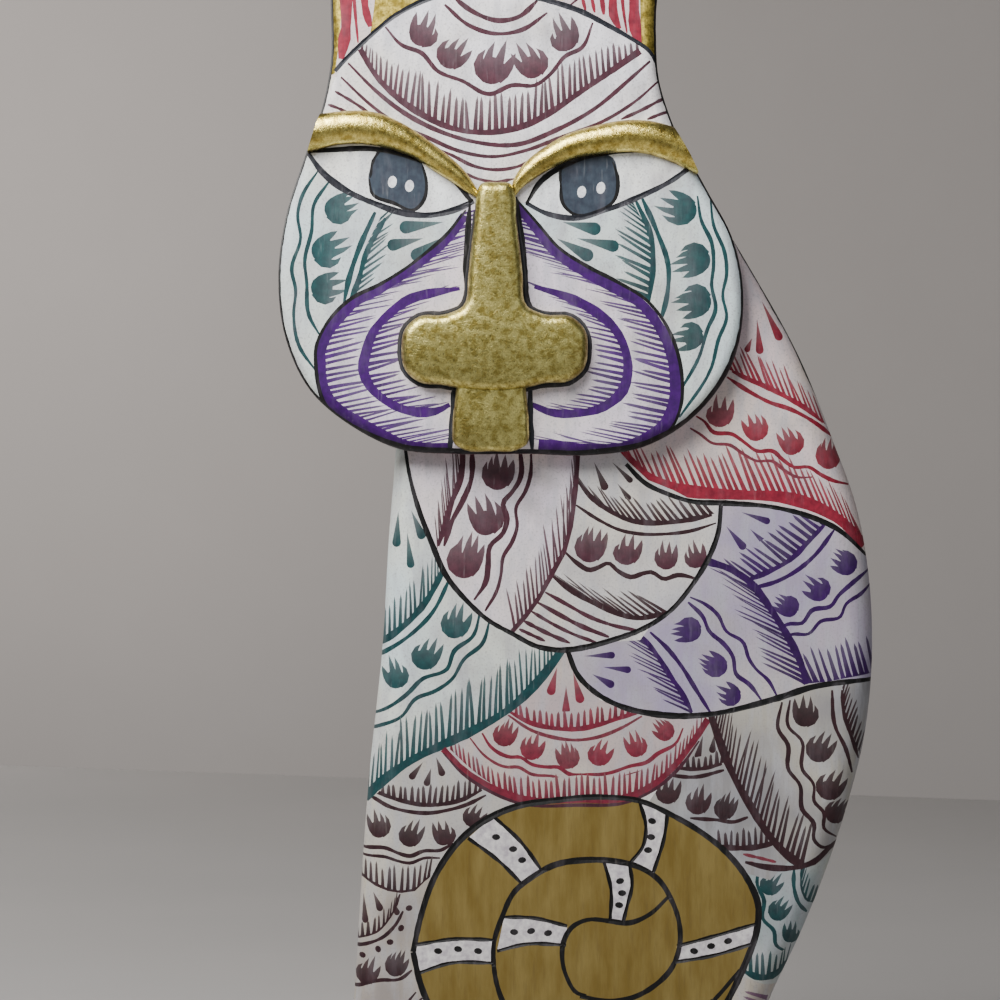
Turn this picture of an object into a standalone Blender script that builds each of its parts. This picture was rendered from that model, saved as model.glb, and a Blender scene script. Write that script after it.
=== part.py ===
"""Wooden cat figurine: a carved board with a raised face, standing on its own low base."""

import math

import bmesh
import bpy

# Overall sizes, in metres
FIGURE_HEIGHT = 0.400
BODY_DEPTH = 0.048
BODY_ROUNDING = 0.009
FACE_RAISE = 0.0085
FACE_ROUNDING = 0.004
FACE_BACK_STEP = 0.003
BROW_RAISE = 0.0055
BROW_END_STEP = 0.0006
NOSE_RAISE = 0.006
NOSE_ROUNDING = 0.0032
MOUTH_RAISE = 0.0042
MOUTH_ROUNDING = 0.002
BASE_HEIGHT = 0.012
BASE_MARGIN = 0.006
BASE_CORNER = 0.010
BASE_ROUNDING = 0.002

# How deep a raised piece is sunk into the one behind it, so that the two join
SINK = 0.006

# Outlines are seen from the front, as (x, z) in millimetres on a figure DRAWN_HEIGHT tall
DRAWN_HEIGHT = 400.0

# The body is open at its foot, which goes down into the base
FOOT_LEFT = -57.6
FOOT_RIGHT = 58.6
BODY_OUTLINE = (
    (-54.2, 56.1), (-49.5, 125.4), (-45.0, 169.5), (-43.2, 201.0),
    (-41.0, 229.3), (-39.4, 267.1), (-29.9, 303.3), (-1.6, 325.4), (36.2, 323.8),
    (55.1, 312.8), (63.9, 299.6), (72.8, 284.8), (86.9, 259.2), (97.7, 232.5),
    (105.2, 211.4), (109.0, 190.6), (110.2, 169.5), (108.0, 140.8), (100.5, 111.2),
    (87.9, 77.5), (77.8, 56.1), (67.0, 29.0),
)

FACE_OUTLINE = (
    (-54.6, 400.0), (-59.2, 398.1), (-61.1, 393.5), (-61.1, 371.1), (-61.1, 350.3),
    (-63.3, 338.3), (-69.0, 321.9), (-75.3, 301.8), (-77.5, 282.2), (-75.0, 263.7),
    (-67.4, 247.9), (-54.2, 236.6), (-39.4, 229.6), (-22.1, 228.1), (0.6, 228.1),
    (20.8, 227.7), (37.2, 230.3), (51.0, 238.1), (64.9, 256.1), (68.4, 279.1),
    (64.9, 296.1), (57.0, 310.9), (46.6, 330.8), (41.9, 345.9), (41.0, 361.6),
    (41.0, 393.5), (39.1, 398.1), (34.5, 400.0), (29.9, 398.1), (19.6, 386.0),
    (11.2, 377.4), (1.6, 374.2), (-8.5, 373.4), (-18.6, 374.2), (-28.2, 377.4),
    (-37.6, 386.0), (-50.0, 398.1),
)

NOSE_OUTLINE = (
    (-12.9, 311.8), (-9.2, 313.2), (-5.5, 311.8), (-3.1, 307.5), (-0.8, 284.0),
    (0.6, 274.1), (6.3, 271.5), (14.2, 270.9), (18.6, 266.8), (19.5, 260.8),
    (18.3, 254.5), (13.5, 250.7), (6.3, 250.1), (-1.6, 248.2), (-10.4, 247.6),
    (-18.9, 248.2), (-25.8, 249.5), (-33.1, 250.4), (-37.5, 254.2), (-38.7, 260.8),
    (-37.5, 267.1), (-33.1, 270.9), (-25.2, 271.5), (-19.5, 274.1), (-17.8, 284.0),
    (-15.3, 307.5),
)

MOUTH_TOP = 254.0
MOUTH_BOTTOM = 228.9
MOUTH_LEFT = -22.2
MOUTH_RIGHT = 0.8
MOUTH_CORNER = 3.0

# A brow is a row of stations along its middle line: (x, z, half width)
# Each brow runs on past the side of the face, which trims its outer end
LEFT_BROW = (
    (-76.0, 325.3, 5.0), (-66.0, 328.4, 5.4), (-58.0, 329.9, 5.2), (-48.2, 329.8, 5.2),
    (-39.4, 327.0, 4.4), (-32.8, 323.5, 3.6), (-26.5, 319.1, 3.3), (-21.1, 315.0, 2.7),
    (-17.0, 310.9, 1.7), (-14.8, 308.7, 0.8),
)
RIGHT_BROW = (
    (-3.8, 309.0, 0.8), (-2.2, 312.5, 1.9), (1.9, 316.9, 3.0), (8.5, 321.3, 3.6),
    (15.1, 324.4, 4.1), (23.0, 326.2, 4.6), (30.6, 327.3, 5.0), (38.4, 327.0, 5.2),
    (45.5, 325.0, 5.2), (56.0, 320.0, 5.0),
)

OUTLINE_STEPS = 4
BROW_STEPS = 3
BROW_SIDES = 10
ROUNDING_SEGMENTS = 4
CORNER_STEPS = 6
SMOOTH_ANGLE = math.radians(40)

WOOD_COLOUR = (0.55, 0.47, 0.36, 1.0)
WOOD_ROUGHNESS = 0.55


def clear_scene():
    for item in list(bpy.data.objects):
        bpy.data.objects.remove(item, do_unlink=True)


def painted_wood():
    material = bpy.data.materials.new("painted_wood")
    material.use_nodes = True
    shader = material.node_tree.nodes["Principled BSDF"]
    shader.inputs["Base Color"].default_value = WOOD_COLOUR
    shader.inputs["Roughness"].default_value = WOOD_ROUGHNESS
    shader.inputs["Metallic"].default_value = 0.0
    return material


def drawn(length):
    """A length on the drawn outlines, in metres on the figure."""
    return length * FIGURE_HEIGHT / DRAWN_HEIGHT


def smooth_row(points, steps, closed):
    """A smooth curve through the points, as a list with steps places for each of them.

    The slope at a point is that of its two neighbouring spans, each counted by the other's
    length, so that close and distant points share one even curve.
    """
    count = len(points)
    spans = count if closed else count - 1
    chords = [math.dist(points[n][:2], points[(n + 1) % count][:2]) for n in range(count)]

    def slope(place):
        before, after = (place - 1) % count, place % count
        if not closed and place == 0:
            before = after
        if not closed and place == count - 1:
            after = before
        near, far = chords[before], chords[after]
        starts = [points[before], points[after]]
        ends = [points[(before + 1) % count], points[(after + 1) % count]]
        return [
            ((end_a - start_a) / near * far + (end_b - start_b) / far * near) / (near + far)
            for start_a, end_a, start_b, end_b in zip(starts[0], ends[0], starts[1], ends[1])
        ]

    row = []
    for span in range(spans):
        last = (span + 1) % count
        leaving, arriving = slope(span), slope(last)
        for step in range(steps):
            share = step / steps
            place = []
            for axis, start in enumerate(points[span]):
                end = points[last][axis]
                along = leaving[axis] * chords[span]
                onward = arriving[axis] * chords[span]
                cubic = 2 * start - 2 * end + along + onward
                square = 3 * end - 3 * start - 2 * along - onward
                place.append(((cubic * share + square) * share + along) * share + start)
            row.append(tuple(place))
    if not closed:
        row.append(points[-1])
    return row


def rounded_rectangle(left, right, low, high, corner):
    """The outline of a rectangle with round corners, anticlockwise."""
    outline = []
    centres = (
        (right - corner, low + corner),
        (right - corner, high - corner),
        (left + corner, high - corner),
        (left + corner, low + corner),
    )
    for number, (x, z) in enumerate(centres):
        for step in range(CORNER_STEPS + 1):
            turn = math.pi / 2 * (number - 1 + step / CORNER_STEPS)
            outline.append((x + corner * math.cos(turn), z + corner * math.sin(turn)))
    return outline


def object_of(name, bm):
    bmesh.ops.recalc_face_normals(bm, faces=bm.faces)
    mesh = bpy.data.meshes.new(name)
    bm.to_mesh(mesh)
    bm.free()
    mesh.shade_smooth()
    mesh.set_sharp_from_angle(angle=SMOOTH_ANGLE)
    made = bpy.data.objects.new(name, mesh)
    bpy.context.scene.collection.objects.link(made)
    return made


def slab(name, corners, thickness, near_rounding, far_rounding, square_foot=False):
    """A plate on a closed row of corners, with a rounding along each rim.

    With square_foot, the rim's lowest edges stay square.
    """
    bm = bmesh.new()
    near = bm.faces.new([bm.verts.new(corner) for corner in corners])
    made = bmesh.ops.extrude_face_region(bm, geom=[near], use_keep_orig=True)
    moved = [item for item in made["geom"] if isinstance(item, bmesh.types.BMVert)]
    far = next(item for item in made["geom"] if isinstance(item, bmesh.types.BMFace))
    bmesh.ops.translate(bm, verts=moved, vec=thickness)
    for rim, rounding in ((near, near_rounding), (far, far_rounding)):
        if rounding > 0:
            lowest = min(corner.co.z for corner in rim.verts)
            rim_edges = [
                edge for edge in rim.edges
                if not square_foot or max(corner.co.z for corner in edge.verts) > lowest
            ]
            bmesh.ops.bevel(
                bm, geom=rim_edges, offset=rounding, offset_type="OFFSET",
                segments=ROUNDING_SEGMENTS, profile=0.5, affect="EDGES",
                clamp_overlap=False, material=-1,
            )
    # Flat faces with many corners are cut into triangles, which a Boolean keeps exact
    many_sided = [face for face in bm.faces if len(face.verts) > 4]
    bmesh.ops.triangulate(bm, faces=many_sided, quad_method="BEAUTY", ngon_method="BEAUTY")
    return object_of(name, bm)


def plate(name, outline, front, back, front_rounding, back_rounding, square_foot=False):
    """An upright slab from y = front to y = back."""
    corners = [(x, front, z) for x, z in outline]
    thickness = (0, back - front, 0)
    return slab(name, corners, thickness, front_rounding, back_rounding, square_foot)


def ridge(name, stations, surface, height):
    """A tapering ridge with a round top, along the stations, standing on y = surface."""
    row = smooth_row(stations, BROW_STEPS, closed=False)
    widest = max(station[2] for station in row)
    bm = bmesh.new()
    rings = []
    for place, (x, z, half_width) in enumerate(row):
        after = row[min(place + 1, len(row) - 1)]
        before = row[max(place - 1, 0)]
        run = math.hypot(after[0] - before[0], after[1] - before[1])
        across = ((before[1] - after[1]) / run, (after[0] - before[0]) / run)
        top = height * math.sqrt(half_width / widest)
        ring = []
        for side in range(BROW_SIDES + 1):
            turn = math.pi * side / BROW_SIDES
            out = drawn(half_width) * math.cos(turn)
            forward = top * math.sin(turn) ** 0.7
            ring.append((drawn(x) + across[0] * out, surface - forward, drawn(z) + across[1] * out))
        ring.append((ring[-1][0], surface + SINK, ring[-1][2]))
        ring.append((ring[0][0], surface + SINK, ring[0][2]))
        rings.append([bm.verts.new(point) for point in ring])
    for ring, following in zip(rings, rings[1:]):
        for side in range(len(ring)):
            last = (side + 1) % len(ring)
            bm.faces.new((ring[side], ring[last], following[last], following[side]))
    bm.faces.new(rings[0])
    bm.faces.new(rings[-1])
    return object_of(name, bm)


def inset(outline, distance):
    """The outline moved inwards by a distance, for one that runs anticlockwise."""
    moved = []
    for place, (x, z) in enumerate(outline):
        before = outline[place - 1]
        after = outline[(place + 1) % len(outline)]
        run = math.dist(before, after)
        moved.append((
            x - (after[1] - before[1]) / run * distance,
            z + (after[0] - before[0]) / run * distance,
        ))
    return moved


def trim(target, keep):
    """Leaves only what of the target lies inside keep."""
    cut = target.modifiers.new("trim", "BOOLEAN")
    cut.operation = "INTERSECT"
    cut.solver = "EXACT"
    cut.object = keep
    keep.hide_render = True
    keep.display_type = "WIRE"


def foot_span(body):
    """Where the body's outline meets the top of the base, from left to right."""
    crossings = []
    for (x, z), (next_x, next_z) in zip(body, body[1:] + body[:1]):
        if (z - BASE_HEIGHT) * (next_z - BASE_HEIGHT) < 0:
            share = (BASE_HEIGHT - z) / (next_z - z)
            crossings.append(x + (next_x - x) * share)
    return min(crossings), max(crossings)


def build_base(body):
    left, right = foot_span(body)
    reach = BODY_DEPTH / 2 + BASE_MARGIN
    outline = rounded_rectangle(
        left - BASE_MARGIN, right + BASE_MARGIN, -reach, reach, BASE_CORNER
    )
    corners = [(x, y, 0) for x, y in outline]
    return slab("base", corners, (0, 0, BASE_HEIGHT), 0, BASE_ROUNDING)


def outline_in_metres(points, closed):
    return [(drawn(x), drawn(z)) for x, z in smooth_row(points, OUTLINE_STEPS, closed)]


def body_outline():
    """The body's outline, with its foot half way down inside the base."""
    foot = BASE_HEIGHT / 2 * DRAWN_HEIGHT / FIGURE_HEIGHT
    points = ((FOOT_LEFT, foot), *BODY_OUTLINE, (FOOT_RIGHT, foot))
    return outline_in_metres(points, closed=False)


def join(target, others):
    """Makes the target one closed solid with the others."""
    for other in others:
        union = target.modifiers.new("join_" + other.name, "BOOLEAN")
        union.operation = "UNION"
        union.solver = "EXACT"
        union.object = other
        other.hide_render = True
        other.display_type = "WIRE"


def build():
    clear_scene()
    material = painted_wood()

    body_front = -BODY_DEPTH / 2
    body_back = BODY_DEPTH / 2
    face_front = body_front - FACE_RAISE
    face_back = body_back - FACE_BACK_STEP

    body = body_outline()
    cat = plate(
        "cat_figurine", body, body_front, body_back, BODY_ROUNDING, BODY_ROUNDING,
        square_foot=True,
    )

    face_outline = outline_in_metres(FACE_OUTLINE, closed=True)
    face = plate("face", face_outline, face_front, face_back, FACE_ROUNDING, FACE_ROUNDING)
    nose = plate(
        "nose", outline_in_metres(NOSE_OUTLINE, closed=True), face_front - NOSE_RAISE,
        face_front + SINK, NOSE_ROUNDING, 0,
    )
    mouth_sides = [drawn(side) for side in (MOUTH_LEFT, MOUTH_RIGHT, MOUTH_BOTTOM, MOUTH_TOP)]
    mouth = plate(
        "mouth", rounded_rectangle(*mouth_sides, drawn(MOUTH_CORNER)),
        face_front - MOUTH_RAISE, face_front + SINK, MOUTH_ROUNDING, 0,
    )
    brow_reach = plate(
        "brow_reach", inset(face_outline, BROW_END_STEP), face_front - 2 * BROW_RAISE,
        face_front + 2 * SINK, 0, 0,
    )
    left_brow = ridge("left_brow", LEFT_BROW, face_front, BROW_RAISE)
    right_brow = ridge("right_brow", RIGHT_BROW, face_front, BROW_RAISE)
    trim(left_brow, brow_reach)
    trim(right_brow, brow_reach)
    base = build_base(body)

    join(cat, [face, nose, mouth, left_brow, right_brow, base])
    cat.data.materials.append(material)


build()
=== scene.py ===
import math
import random

import bmesh
import bpy
import numpy as np
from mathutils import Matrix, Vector
from mathutils.geometry import delaunay_2d_cdt
from mathutils.kdtree import KDTree


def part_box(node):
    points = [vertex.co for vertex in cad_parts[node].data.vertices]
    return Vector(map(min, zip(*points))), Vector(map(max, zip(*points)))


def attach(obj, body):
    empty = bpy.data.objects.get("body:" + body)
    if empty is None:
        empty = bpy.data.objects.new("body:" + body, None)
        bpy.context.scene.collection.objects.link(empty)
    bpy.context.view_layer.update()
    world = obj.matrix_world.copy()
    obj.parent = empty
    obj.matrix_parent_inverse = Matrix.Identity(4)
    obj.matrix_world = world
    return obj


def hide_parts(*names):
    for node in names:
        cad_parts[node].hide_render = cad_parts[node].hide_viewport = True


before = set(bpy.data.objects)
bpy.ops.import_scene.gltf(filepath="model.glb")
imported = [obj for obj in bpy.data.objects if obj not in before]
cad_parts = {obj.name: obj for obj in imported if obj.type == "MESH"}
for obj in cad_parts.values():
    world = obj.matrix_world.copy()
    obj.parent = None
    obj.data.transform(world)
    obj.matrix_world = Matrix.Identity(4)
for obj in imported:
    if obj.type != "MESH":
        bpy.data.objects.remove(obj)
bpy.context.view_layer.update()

mm = 0.001
chance = random.Random(11)

# Places on the painting are read in the photograph's pixels, and sizes are in millimetres
photo = {
    "mmPerPixel": 0.315,
    "middle": 525,      # the pixel column over the middle of the base
    "ground": 1178,     # the pixel row of the surface it stands on
}

cat = {
    "bodyFront": -24.0,
    "bodyBack": 24.0,
    "bodyRounding": 9.0,
    "faceFront": -32.5,
    "faceBack": 21.0,
    "faceRounding": 4.0,
    "grooveDepth": 0.3,
    "outlineSteps": 6,
    "sharpFrom": 50,        # degrees between faces of the raised pieces
}

palette = {
    "white": "dcd9d7",
    "cool": "cddbdd",
    "lilac": "ddd2e2",
    "pink": "d6c4c6",
    "warm": "c3c1c6",
    "burgundy": "4a2330",
    "brown": "33191f",
    "red": "8c1f34",
    "rose": "7a3340",
    "teal": "154345",
    "purple": "3f0462",
    "black": "060607",
    "slate": "24272e",
    "iris": "38434f",
    "spot": "f4f8f9",
    "tail": "6c5924",
    "gold": "9c7a26",
    "plum": "6d4a68",
    # painted shade around the raised nose
    "smoke": "3c3b3f",
    "violet": "330250",     # the body's purple is duller than the muzzle's
    "wine": "7a2236",
    # painted highlight: the forehead's own ground, lighter than the white, where the light falls strongest
    "pale": "ece9f0",
    # The next six grounds are painted shade: greyer, darker copies of the pale grounds for the front's lower and
    # right panels, where the light falls off
    "paintedShade": "a5a3a5",       # painted shade for the lower half
    "paintedShadeCool": "939fa1",
    "shade": "888789",
    "shadeWarm": "968e89",
    "paintedShadeLilac": "a096b0",
    "paintedShadePink": "b5a5a7",
}


def seen(points):  # photograph pixels to (x, z) in millimetres
    scale = photo["mmPerPixel"]
    return [((x - photo["middle"]) * scale, (photo["ground"] - y) * scale) for x, y in points]


def linear(name):  # a palette colour as the renderer counts it
    shades = [int(palette[name][place:place + 2], 16) / 255 for place in (0, 2, 4)]
    return [s / 12.92 if s <= 0.04045 else ((s + 0.055) / 1.055) ** 2.4 for s in shades]


def smoothRow(points, steps, closed=False):
    # each point's slope is shared by its two spans, so close and distant points make one even curve
    count = len(points)
    chords = [max(math.dist(points[n][:2], points[(n + 1) % count][:2]), 1e-6) for n in range(count)]

    def slope(place):
        before, after = (place - 1) % count, place
        if not closed and place == 0:
            before = after
        if not closed and place == count - 1:
            after = before
        near, far = chords[before], chords[after]
        ends = (points[before], points[(before + 1) % count], points[after], points[(after + 1) % count])
        return [((b - a) / near * far + (d - c) / far * near) / (near + far) for a, b, c, d in zip(*ends)]

    row = []
    for span in range(count if closed else count - 1):
        last = (span + 1) % count
        leaving, arriving = slope(span), slope(last)
        for step in range(steps):
            t = step / steps
            place = []
            for axis, start in enumerate(points[span]):
                end = points[last][axis]
                along, onward = leaving[axis] * chords[span], arriving[axis] * chords[span]
                cubic = 2 * start - 2 * end + along + onward
                square = 3 * end - 3 * start - 2 * along - onward
                place.append(((cubic * t + square) * t + along) * t + start)
            row.append(tuple(place))
    if not closed:
        row.append(tuple(points[-1]))
    return row


def evenly(path, gap):  # places along a path, with the direction of travel and the share of its length
    lengths = [math.dist(a, b) for a, b in zip(path, path[1:])]
    total = sum(lengths)
    count = max(2, round(total / gap))
    places, at, run = [], 0, 0.0
    for number in range(count + 1):
        wanted = total * number / count
        while at < len(lengths) - 1 and run + lengths[at] < wanted:
            run += lengths[at]
            at += 1
        share = min(1, (wanted - run) / max(lengths[at], 1e-9))
        (ax, az), (bx, bz) = path[at], path[at + 1]
        facing = math.atan2(bz - az, bx - ax)
        places.append((ax + (bx - ax) * share, az + (bz - az) * share, facing, number / count))
    return places


# Strokes: each is a list of small polygons with its colour, its finish and how it fades

def stroke(panel, polygons, ink, tone=1.0, fade=None, finish="paint", spine=None):
    panel["strokes"].append({
        "polygons": polygons, "ink": ink, "tone": tone, "fade": fade, "finish": finish, "spine": spine,
    })


def ribbon(stations):  # quads along (x, z, half width) stations, closed to a point where the width ends
    rings = []
    for place, (x, z, half) in enumerate(stations):
        px, pz, _ = stations[max(place - 1, 0)]
        nx, nz, _ = stations[min(place + 1, len(stations) - 1)]
        turn = math.atan2(nz - pz, nx - px)
        rings.append(((x - math.sin(turn) * half, z + math.cos(turn) * half),
                      (x + math.sin(turn) * half, z - math.cos(turn) * half), half))
    polygons = []
    for (a, b, near), (c, d, far) in zip(rings, rings[1:]):
        if near > 1e-6 and far > 1e-6:
            polygons.append([a, b, d, c])
        elif near > 1e-6:
            polygons.append([a, b, c])
        elif far > 1e-6:
            polygons.append([a, d, c])
    return polygons


lineBrush = {
    "gap": 0.9,             # between stations, in widths of the line
    "leastGap": 1.1,        # the same in millimetres
    "swell": 0.13,
    "swells": 17,           # radians over the whole line
    "jitter": 0.08,
    "taperEnd": 0.12,       # share of the length
}


def line(panel, path, width, ink, taper=(0.45, 0.45), groove=False, steps=5):
    path = smoothRow(path, steps) if steps > 1 else path
    phase = chance.uniform(0, 6)
    jitter = lineBrush["jitter"]
    stations = []
    for x, z, _, share in evenly(path, max(lineBrush["leastGap"], width * lineBrush["gap"])):
        swell = lineBrush["swell"] * math.sin(phase + share * lineBrush["swells"])
        half = width / 2 * (1 + swell + chance.uniform(-jitter, jitter))
        for end, distance in zip(taper, (share, 1 - share)):
            if end < 1:
                half *= end + (1 - end) * min(1, distance / lineBrush["taperEnd"])
        stations.append((x, z, half))
    spine = ([(x, z) for x, z, _ in stations], width / 2) if groove else None
    stroke(panel, ribbon(stations), ink, 1 + chance.uniform(-jitter, jitter), spine=spine)


hatchBrush = {
    "width": 0.5,           # of the gap between strokes
    "widths": (0.8, 1.1),
    "thinnest": 0.45,
    "lengths": (0.82, 1.14),
    "lean": 2.5,            # degrees either way, and so is the curl
    "curl": 5,
    "slip": 0.12,
    "tones": (0.8, 1.2),
    "fade": 0.16,
    "wash": 0.13,
    "washReach": 0.9,
    "stations": ((0.09, 0.72), (0.38, 0.6), (0.84, 0.42), (1.0, 0.0)),      # shares of the length and the width
}


def tines(panel, path, lengths, gap, leans, ink, smooth=5):
    # hatching: roots that run together on the path, then long thin strokes over a pale wash
    path = smoothRow(path, smooth) if smooth > 1 else path
    reach, lean, curl, slip = (hatchBrush[key] for key in ("washReach", "lean", "curl", "slip"))
    rows = []
    for x, z, facing, share in evenly(path, gap):
        spot = share * (len(lengths) - 1)
        low = min(int(spot), len(lengths) - 2)
        length = lengths[low] + (lengths[low + 1] - lengths[low]) * (spot - low)
        rows.append((x, z, facing, length, leans[0] + (leans[1] - leans[0]) * share))
    for (ax, az, _, first, start), (bx, bz, _, last, stop) in zip(rows, rows[1:]):
        a, b = math.radians(start), math.radians(stop)
        far = (ax + math.cos(a) * first * reach, az + math.sin(a) * first * reach)
        end = (bx + math.cos(b) * last * reach, bz + math.sin(b) * last * reach)
        stroke(panel, [[(ax, az), (bx, bz), end, far]], ink, 1, (ax, az, *far, 1.0, hatchBrush["wash"]))
    for x, z, facing, length, turned in rows:
        length *= chance.uniform(*hatchBrush["lengths"])
        turned += chance.uniform(-lean, lean)
        slipped = chance.uniform(-slip, slip) * gap
        x, z = x + math.cos(facing) * slipped, z + math.sin(facing) * slipped
        spread = gap * hatchBrush["width"] * chance.uniform(*hatchBrush["widths"])
        bend = chance.uniform(-curl, curl)
        across = math.sin(math.radians(turned) - facing)
        side = spread * (1 if across < 0 else -1)
        half = spread * max(abs(across), hatchBrush["thinnest"])    # slanted strokes stand closer
        rings = [((x + math.cos(facing) * side, z + math.sin(facing) * side),
                  (x - math.cos(facing) * side, z - math.sin(facing) * side))]
        root, before = (x, z), 0
        for part, wide in hatchBrush["stations"]:
            turn = math.radians(turned + bend * part)
            step = length * (part - before)
            x, z, before = x + math.cos(turn) * step, z + math.sin(turn) * step, part
            across = (-math.sin(turn) * half * wide, math.cos(turn) * half * wide)
            rings.append(((x + across[0], z + across[1]), (x - across[0], z - across[1])))
        polygons = [[a, b, d, c] for (a, b), (c, d) in zip(rings[:-2], rings[1:-1])]
        polygons.append([rings[-2][0], rings[-2][1], rings[-1][0]])
        stroke(panel, polygons, ink, chance.uniform(*hatchBrush["tones"]), (*root, x, z, hatchBrush["fade"], 1.0))


def oval(x, z, turn, long, half, sides=12):
    outline = []
    for side in range(sides):
        a = 2 * math.pi * side / sides
        u, v = long * math.cos(a), half * math.sin(a)
        outline.append((x + math.cos(turn) * u - math.sin(turn) * v, z + math.sin(turn) * u + math.cos(turn) * v))
    return outline


budBrush = {
    "lean": 5,              # degrees either way
    "middle": 0.45,         # how far the foot lies behind the given place
    "foot": (0.02, 0.29),
    "footLong": 0.29,
    "footWide": 0.31,
    "footSides": 18,
    "tongues": (4, 4, 5),
    "swings": (-0.13, 0.13),
    "stray": 0.08,
    "droop": 0.24,
    "reaches": (0.9, 1.08),
    "root": (0.12, 0.08),
    "bend": (0.42, 0.42),
    "tip": 0.32,
    "stations": ((0, 0.08), (0.25, 0.12), (0.5, 0.105), (0.78, 0.06), (1, 0)),
    "tones": (0.85, 1.2),
    "fade": 0.15,
}


def bud(panel, x, z, size, lean, ink):  # a flame with a round foot and four or five tongues
    turn = math.radians(lean + chance.uniform(-budBrush["lean"], budBrush["lean"]))
    ax, az = math.cos(turn) * size, math.sin(turn) * size
    x, z = x - ax * budBrush["middle"], z - az * budBrush["middle"]

    def at(across, along):
        return (x + ax * along - az * across, z + az * along + ax * across)

    foot = at(*budBrush["foot"])
    polygons = [oval(*foot, turn, size * budBrush["footLong"], size * budBrush["footWide"], budBrush["footSides"])]
    count = chance.choice(budBrush["tongues"])
    swing = chance.choice(budBrush["swings"])
    stray = budBrush["stray"]
    for number in range(count):
        side = number / (count - 1) * 2 - 1 + chance.uniform(-stray, stray)
        reach = (1 - budBrush["droop"] * side * side) * chance.uniform(*budBrush["reaches"])
        root = at(side * budBrush["root"][0], budBrush["root"][1])
        bend = at(side * budBrush["bend"][0] - swing * 0.5, budBrush["bend"][1])
        tip = at(side * budBrush["tip"] + swing, reach)
        stations = []
        for part, half in budBrush["stations"]:
            a, b, c = (1 - part) ** 2, 2 * part * (1 - part), part * part
            x0, z0 = (r * a + s * b + t * c for r, s, t in zip(root, bend, tip))
            stations.append((x0, z0, half * size))
        polygons += ribbon(stations)
    stroke(panel, polygons, ink, chance.uniform(*budBrush["tones"]), (x, z, *at(0, 1), budBrush["fade"], 1.0))


dropBrush = {"tones": (0.85, 1.15), "fade": 0.2}


def drop(panel, start, end, width, ink):  # pointed at its start and round at its end
    (x, z), turn = start, math.atan2(end[1] - start[1], end[0] - start[0])
    length, half = math.dist(start, end), width / 2
    outline = [start]
    for angle in range(-100, 101, 25):
        a = math.radians(angle)
        u, v = length - half + half * math.cos(a), half * math.sin(a)
        outline.append((
            x + math.cos(turn) * u - math.sin(turn) * v,
            z + math.sin(turn) * u + math.cos(turn) * v,
        ))
    stroke(panel, [outline], ink, chance.uniform(*dropBrush["tones"]), (*end, *start, dropBrush["fade"], 1.0))


def newPanel(sheet, edge, ground, finish="paint"):
    panel = {"edge": edge, "ground": ground, "finish": finish, "strokes": []}
    sheet.append(panel)
    return panel


markSizes = {
    "line": 1.12,       # the widths given are the middle of the stroke, and its edges run out
    "cut": 1.25,
    "cutTaper": (0.7, 0.7),
    "bud": 1.08,
    "dotLong": 1.2,
    "dotTones": (0.9, 1.1),
    "dotSides": 9,
    "eggLean": 80,
    "strapCut": 1.2,
    "strapTaper": (0.8, 0.8),
    "strapDot": (1.35, 1.0),
}


def fill(panel, ink, marks):
    # a mark is its kind, its own ink where it has one, its sizes in millimetres, and its pixels
    scale = photo["mmPerPixel"]
    for kind, *rest in marks:
        shade = ink
        if isinstance(rest[0], str):
            shade, rest = rest[0], rest[1:]
        if kind == "line":
            line(panel, seen(rest[1]), rest[0] * markSizes["line"], shade)
        elif kind == "band":
            line(panel, seen(rest[1]), rest[0], shade, taper=(1, 1))
        elif kind == "cut":
            line(panel, seen(rest[1]), rest[0] * markSizes["cut"], shade, markSizes["cutTaper"], True)
        elif kind == "tines":
            tines(panel, seen(rest[3]), rest[0], rest[1], rest[2], shade)
        elif kind == "buds":
            for x, y, size, lean in rest[0]:
                (px, pz), = seen([(x, y)])
                bud(panel, px, pz, size * scale * markSizes["bud"], lean, shade)
        elif kind == "drops":
            for x, y, endX, endY, width in rest[0]:
                start, end = seen([(x, y), (endX, endY)])
                drop(panel, start, end, width * scale, shade)
        elif kind == "dots":
            for x, y, radius in rest[0]:
                (px, pz), = seen([(x, y)])
                long = radius * scale * markSizes["dotLong"]
                spot = oval(px, pz, chance.uniform(0, 3), long, radius * scale, markSizes["dotSides"])
                stroke(panel, [spot], shade, chance.uniform(*markSizes["dotTones"]))
        elif kind == "eggs":
            for x, y, across, tall in rest[0]:
                (px, pz), = seen([(x, y)])
                lean = math.radians(markSizes["eggLean"])
                stroke(panel, [oval(px, pz, lean, tall * scale, across * scale)], shade)
        elif kind == "area":
            stroke(panel, [smoothRow(seen(rest[0]), 4, True)], shade)
        elif kind == "shape":
            stroke(panel, [seen(rest[0])], shade, finish="gilt" if shade == "gold" else "paint")
        elif kind == "straps":      # a white band between two cut lines, with dots
            for first, second, spots in rest[0]:
                sides = [smoothRow(seen(side), 4) for side in (first, second)]
                stroke(panel, [sides[0] + sides[1][::-1]], "white")
                for side in sides:
                    line(panel, side, markSizes["strapCut"], shade, markSizes["strapTaper"], True, 1)
                for px, pz in seen(spots):
                    lean = chance.uniform(-0.3, 0.3)
                    stroke(panel, [oval(px, pz, lean, *markSizes["strapDot"], markSizes["dotSides"])], shade)


def arc(x, z, radius, start, stop, count=9):
    places = []
    for step in range(count):
        a = math.radians(start + (stop - start) * step / (count - 1))
        places.append((x + math.cos(a) * radius, z + math.sin(a) * radius))
    return places


def wave(x, z, radius, start, stop, swing, turns):
    places = []
    for step in range(turns * 4 + 1):
        a = math.radians(start + (stop - start) * step / (turns * 4))
        r = radius + swing * (0, 1, 0, -1)[step % 4]
        places.append((x + math.cos(a) * r, z + math.sin(a) * r))
    return places


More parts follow.
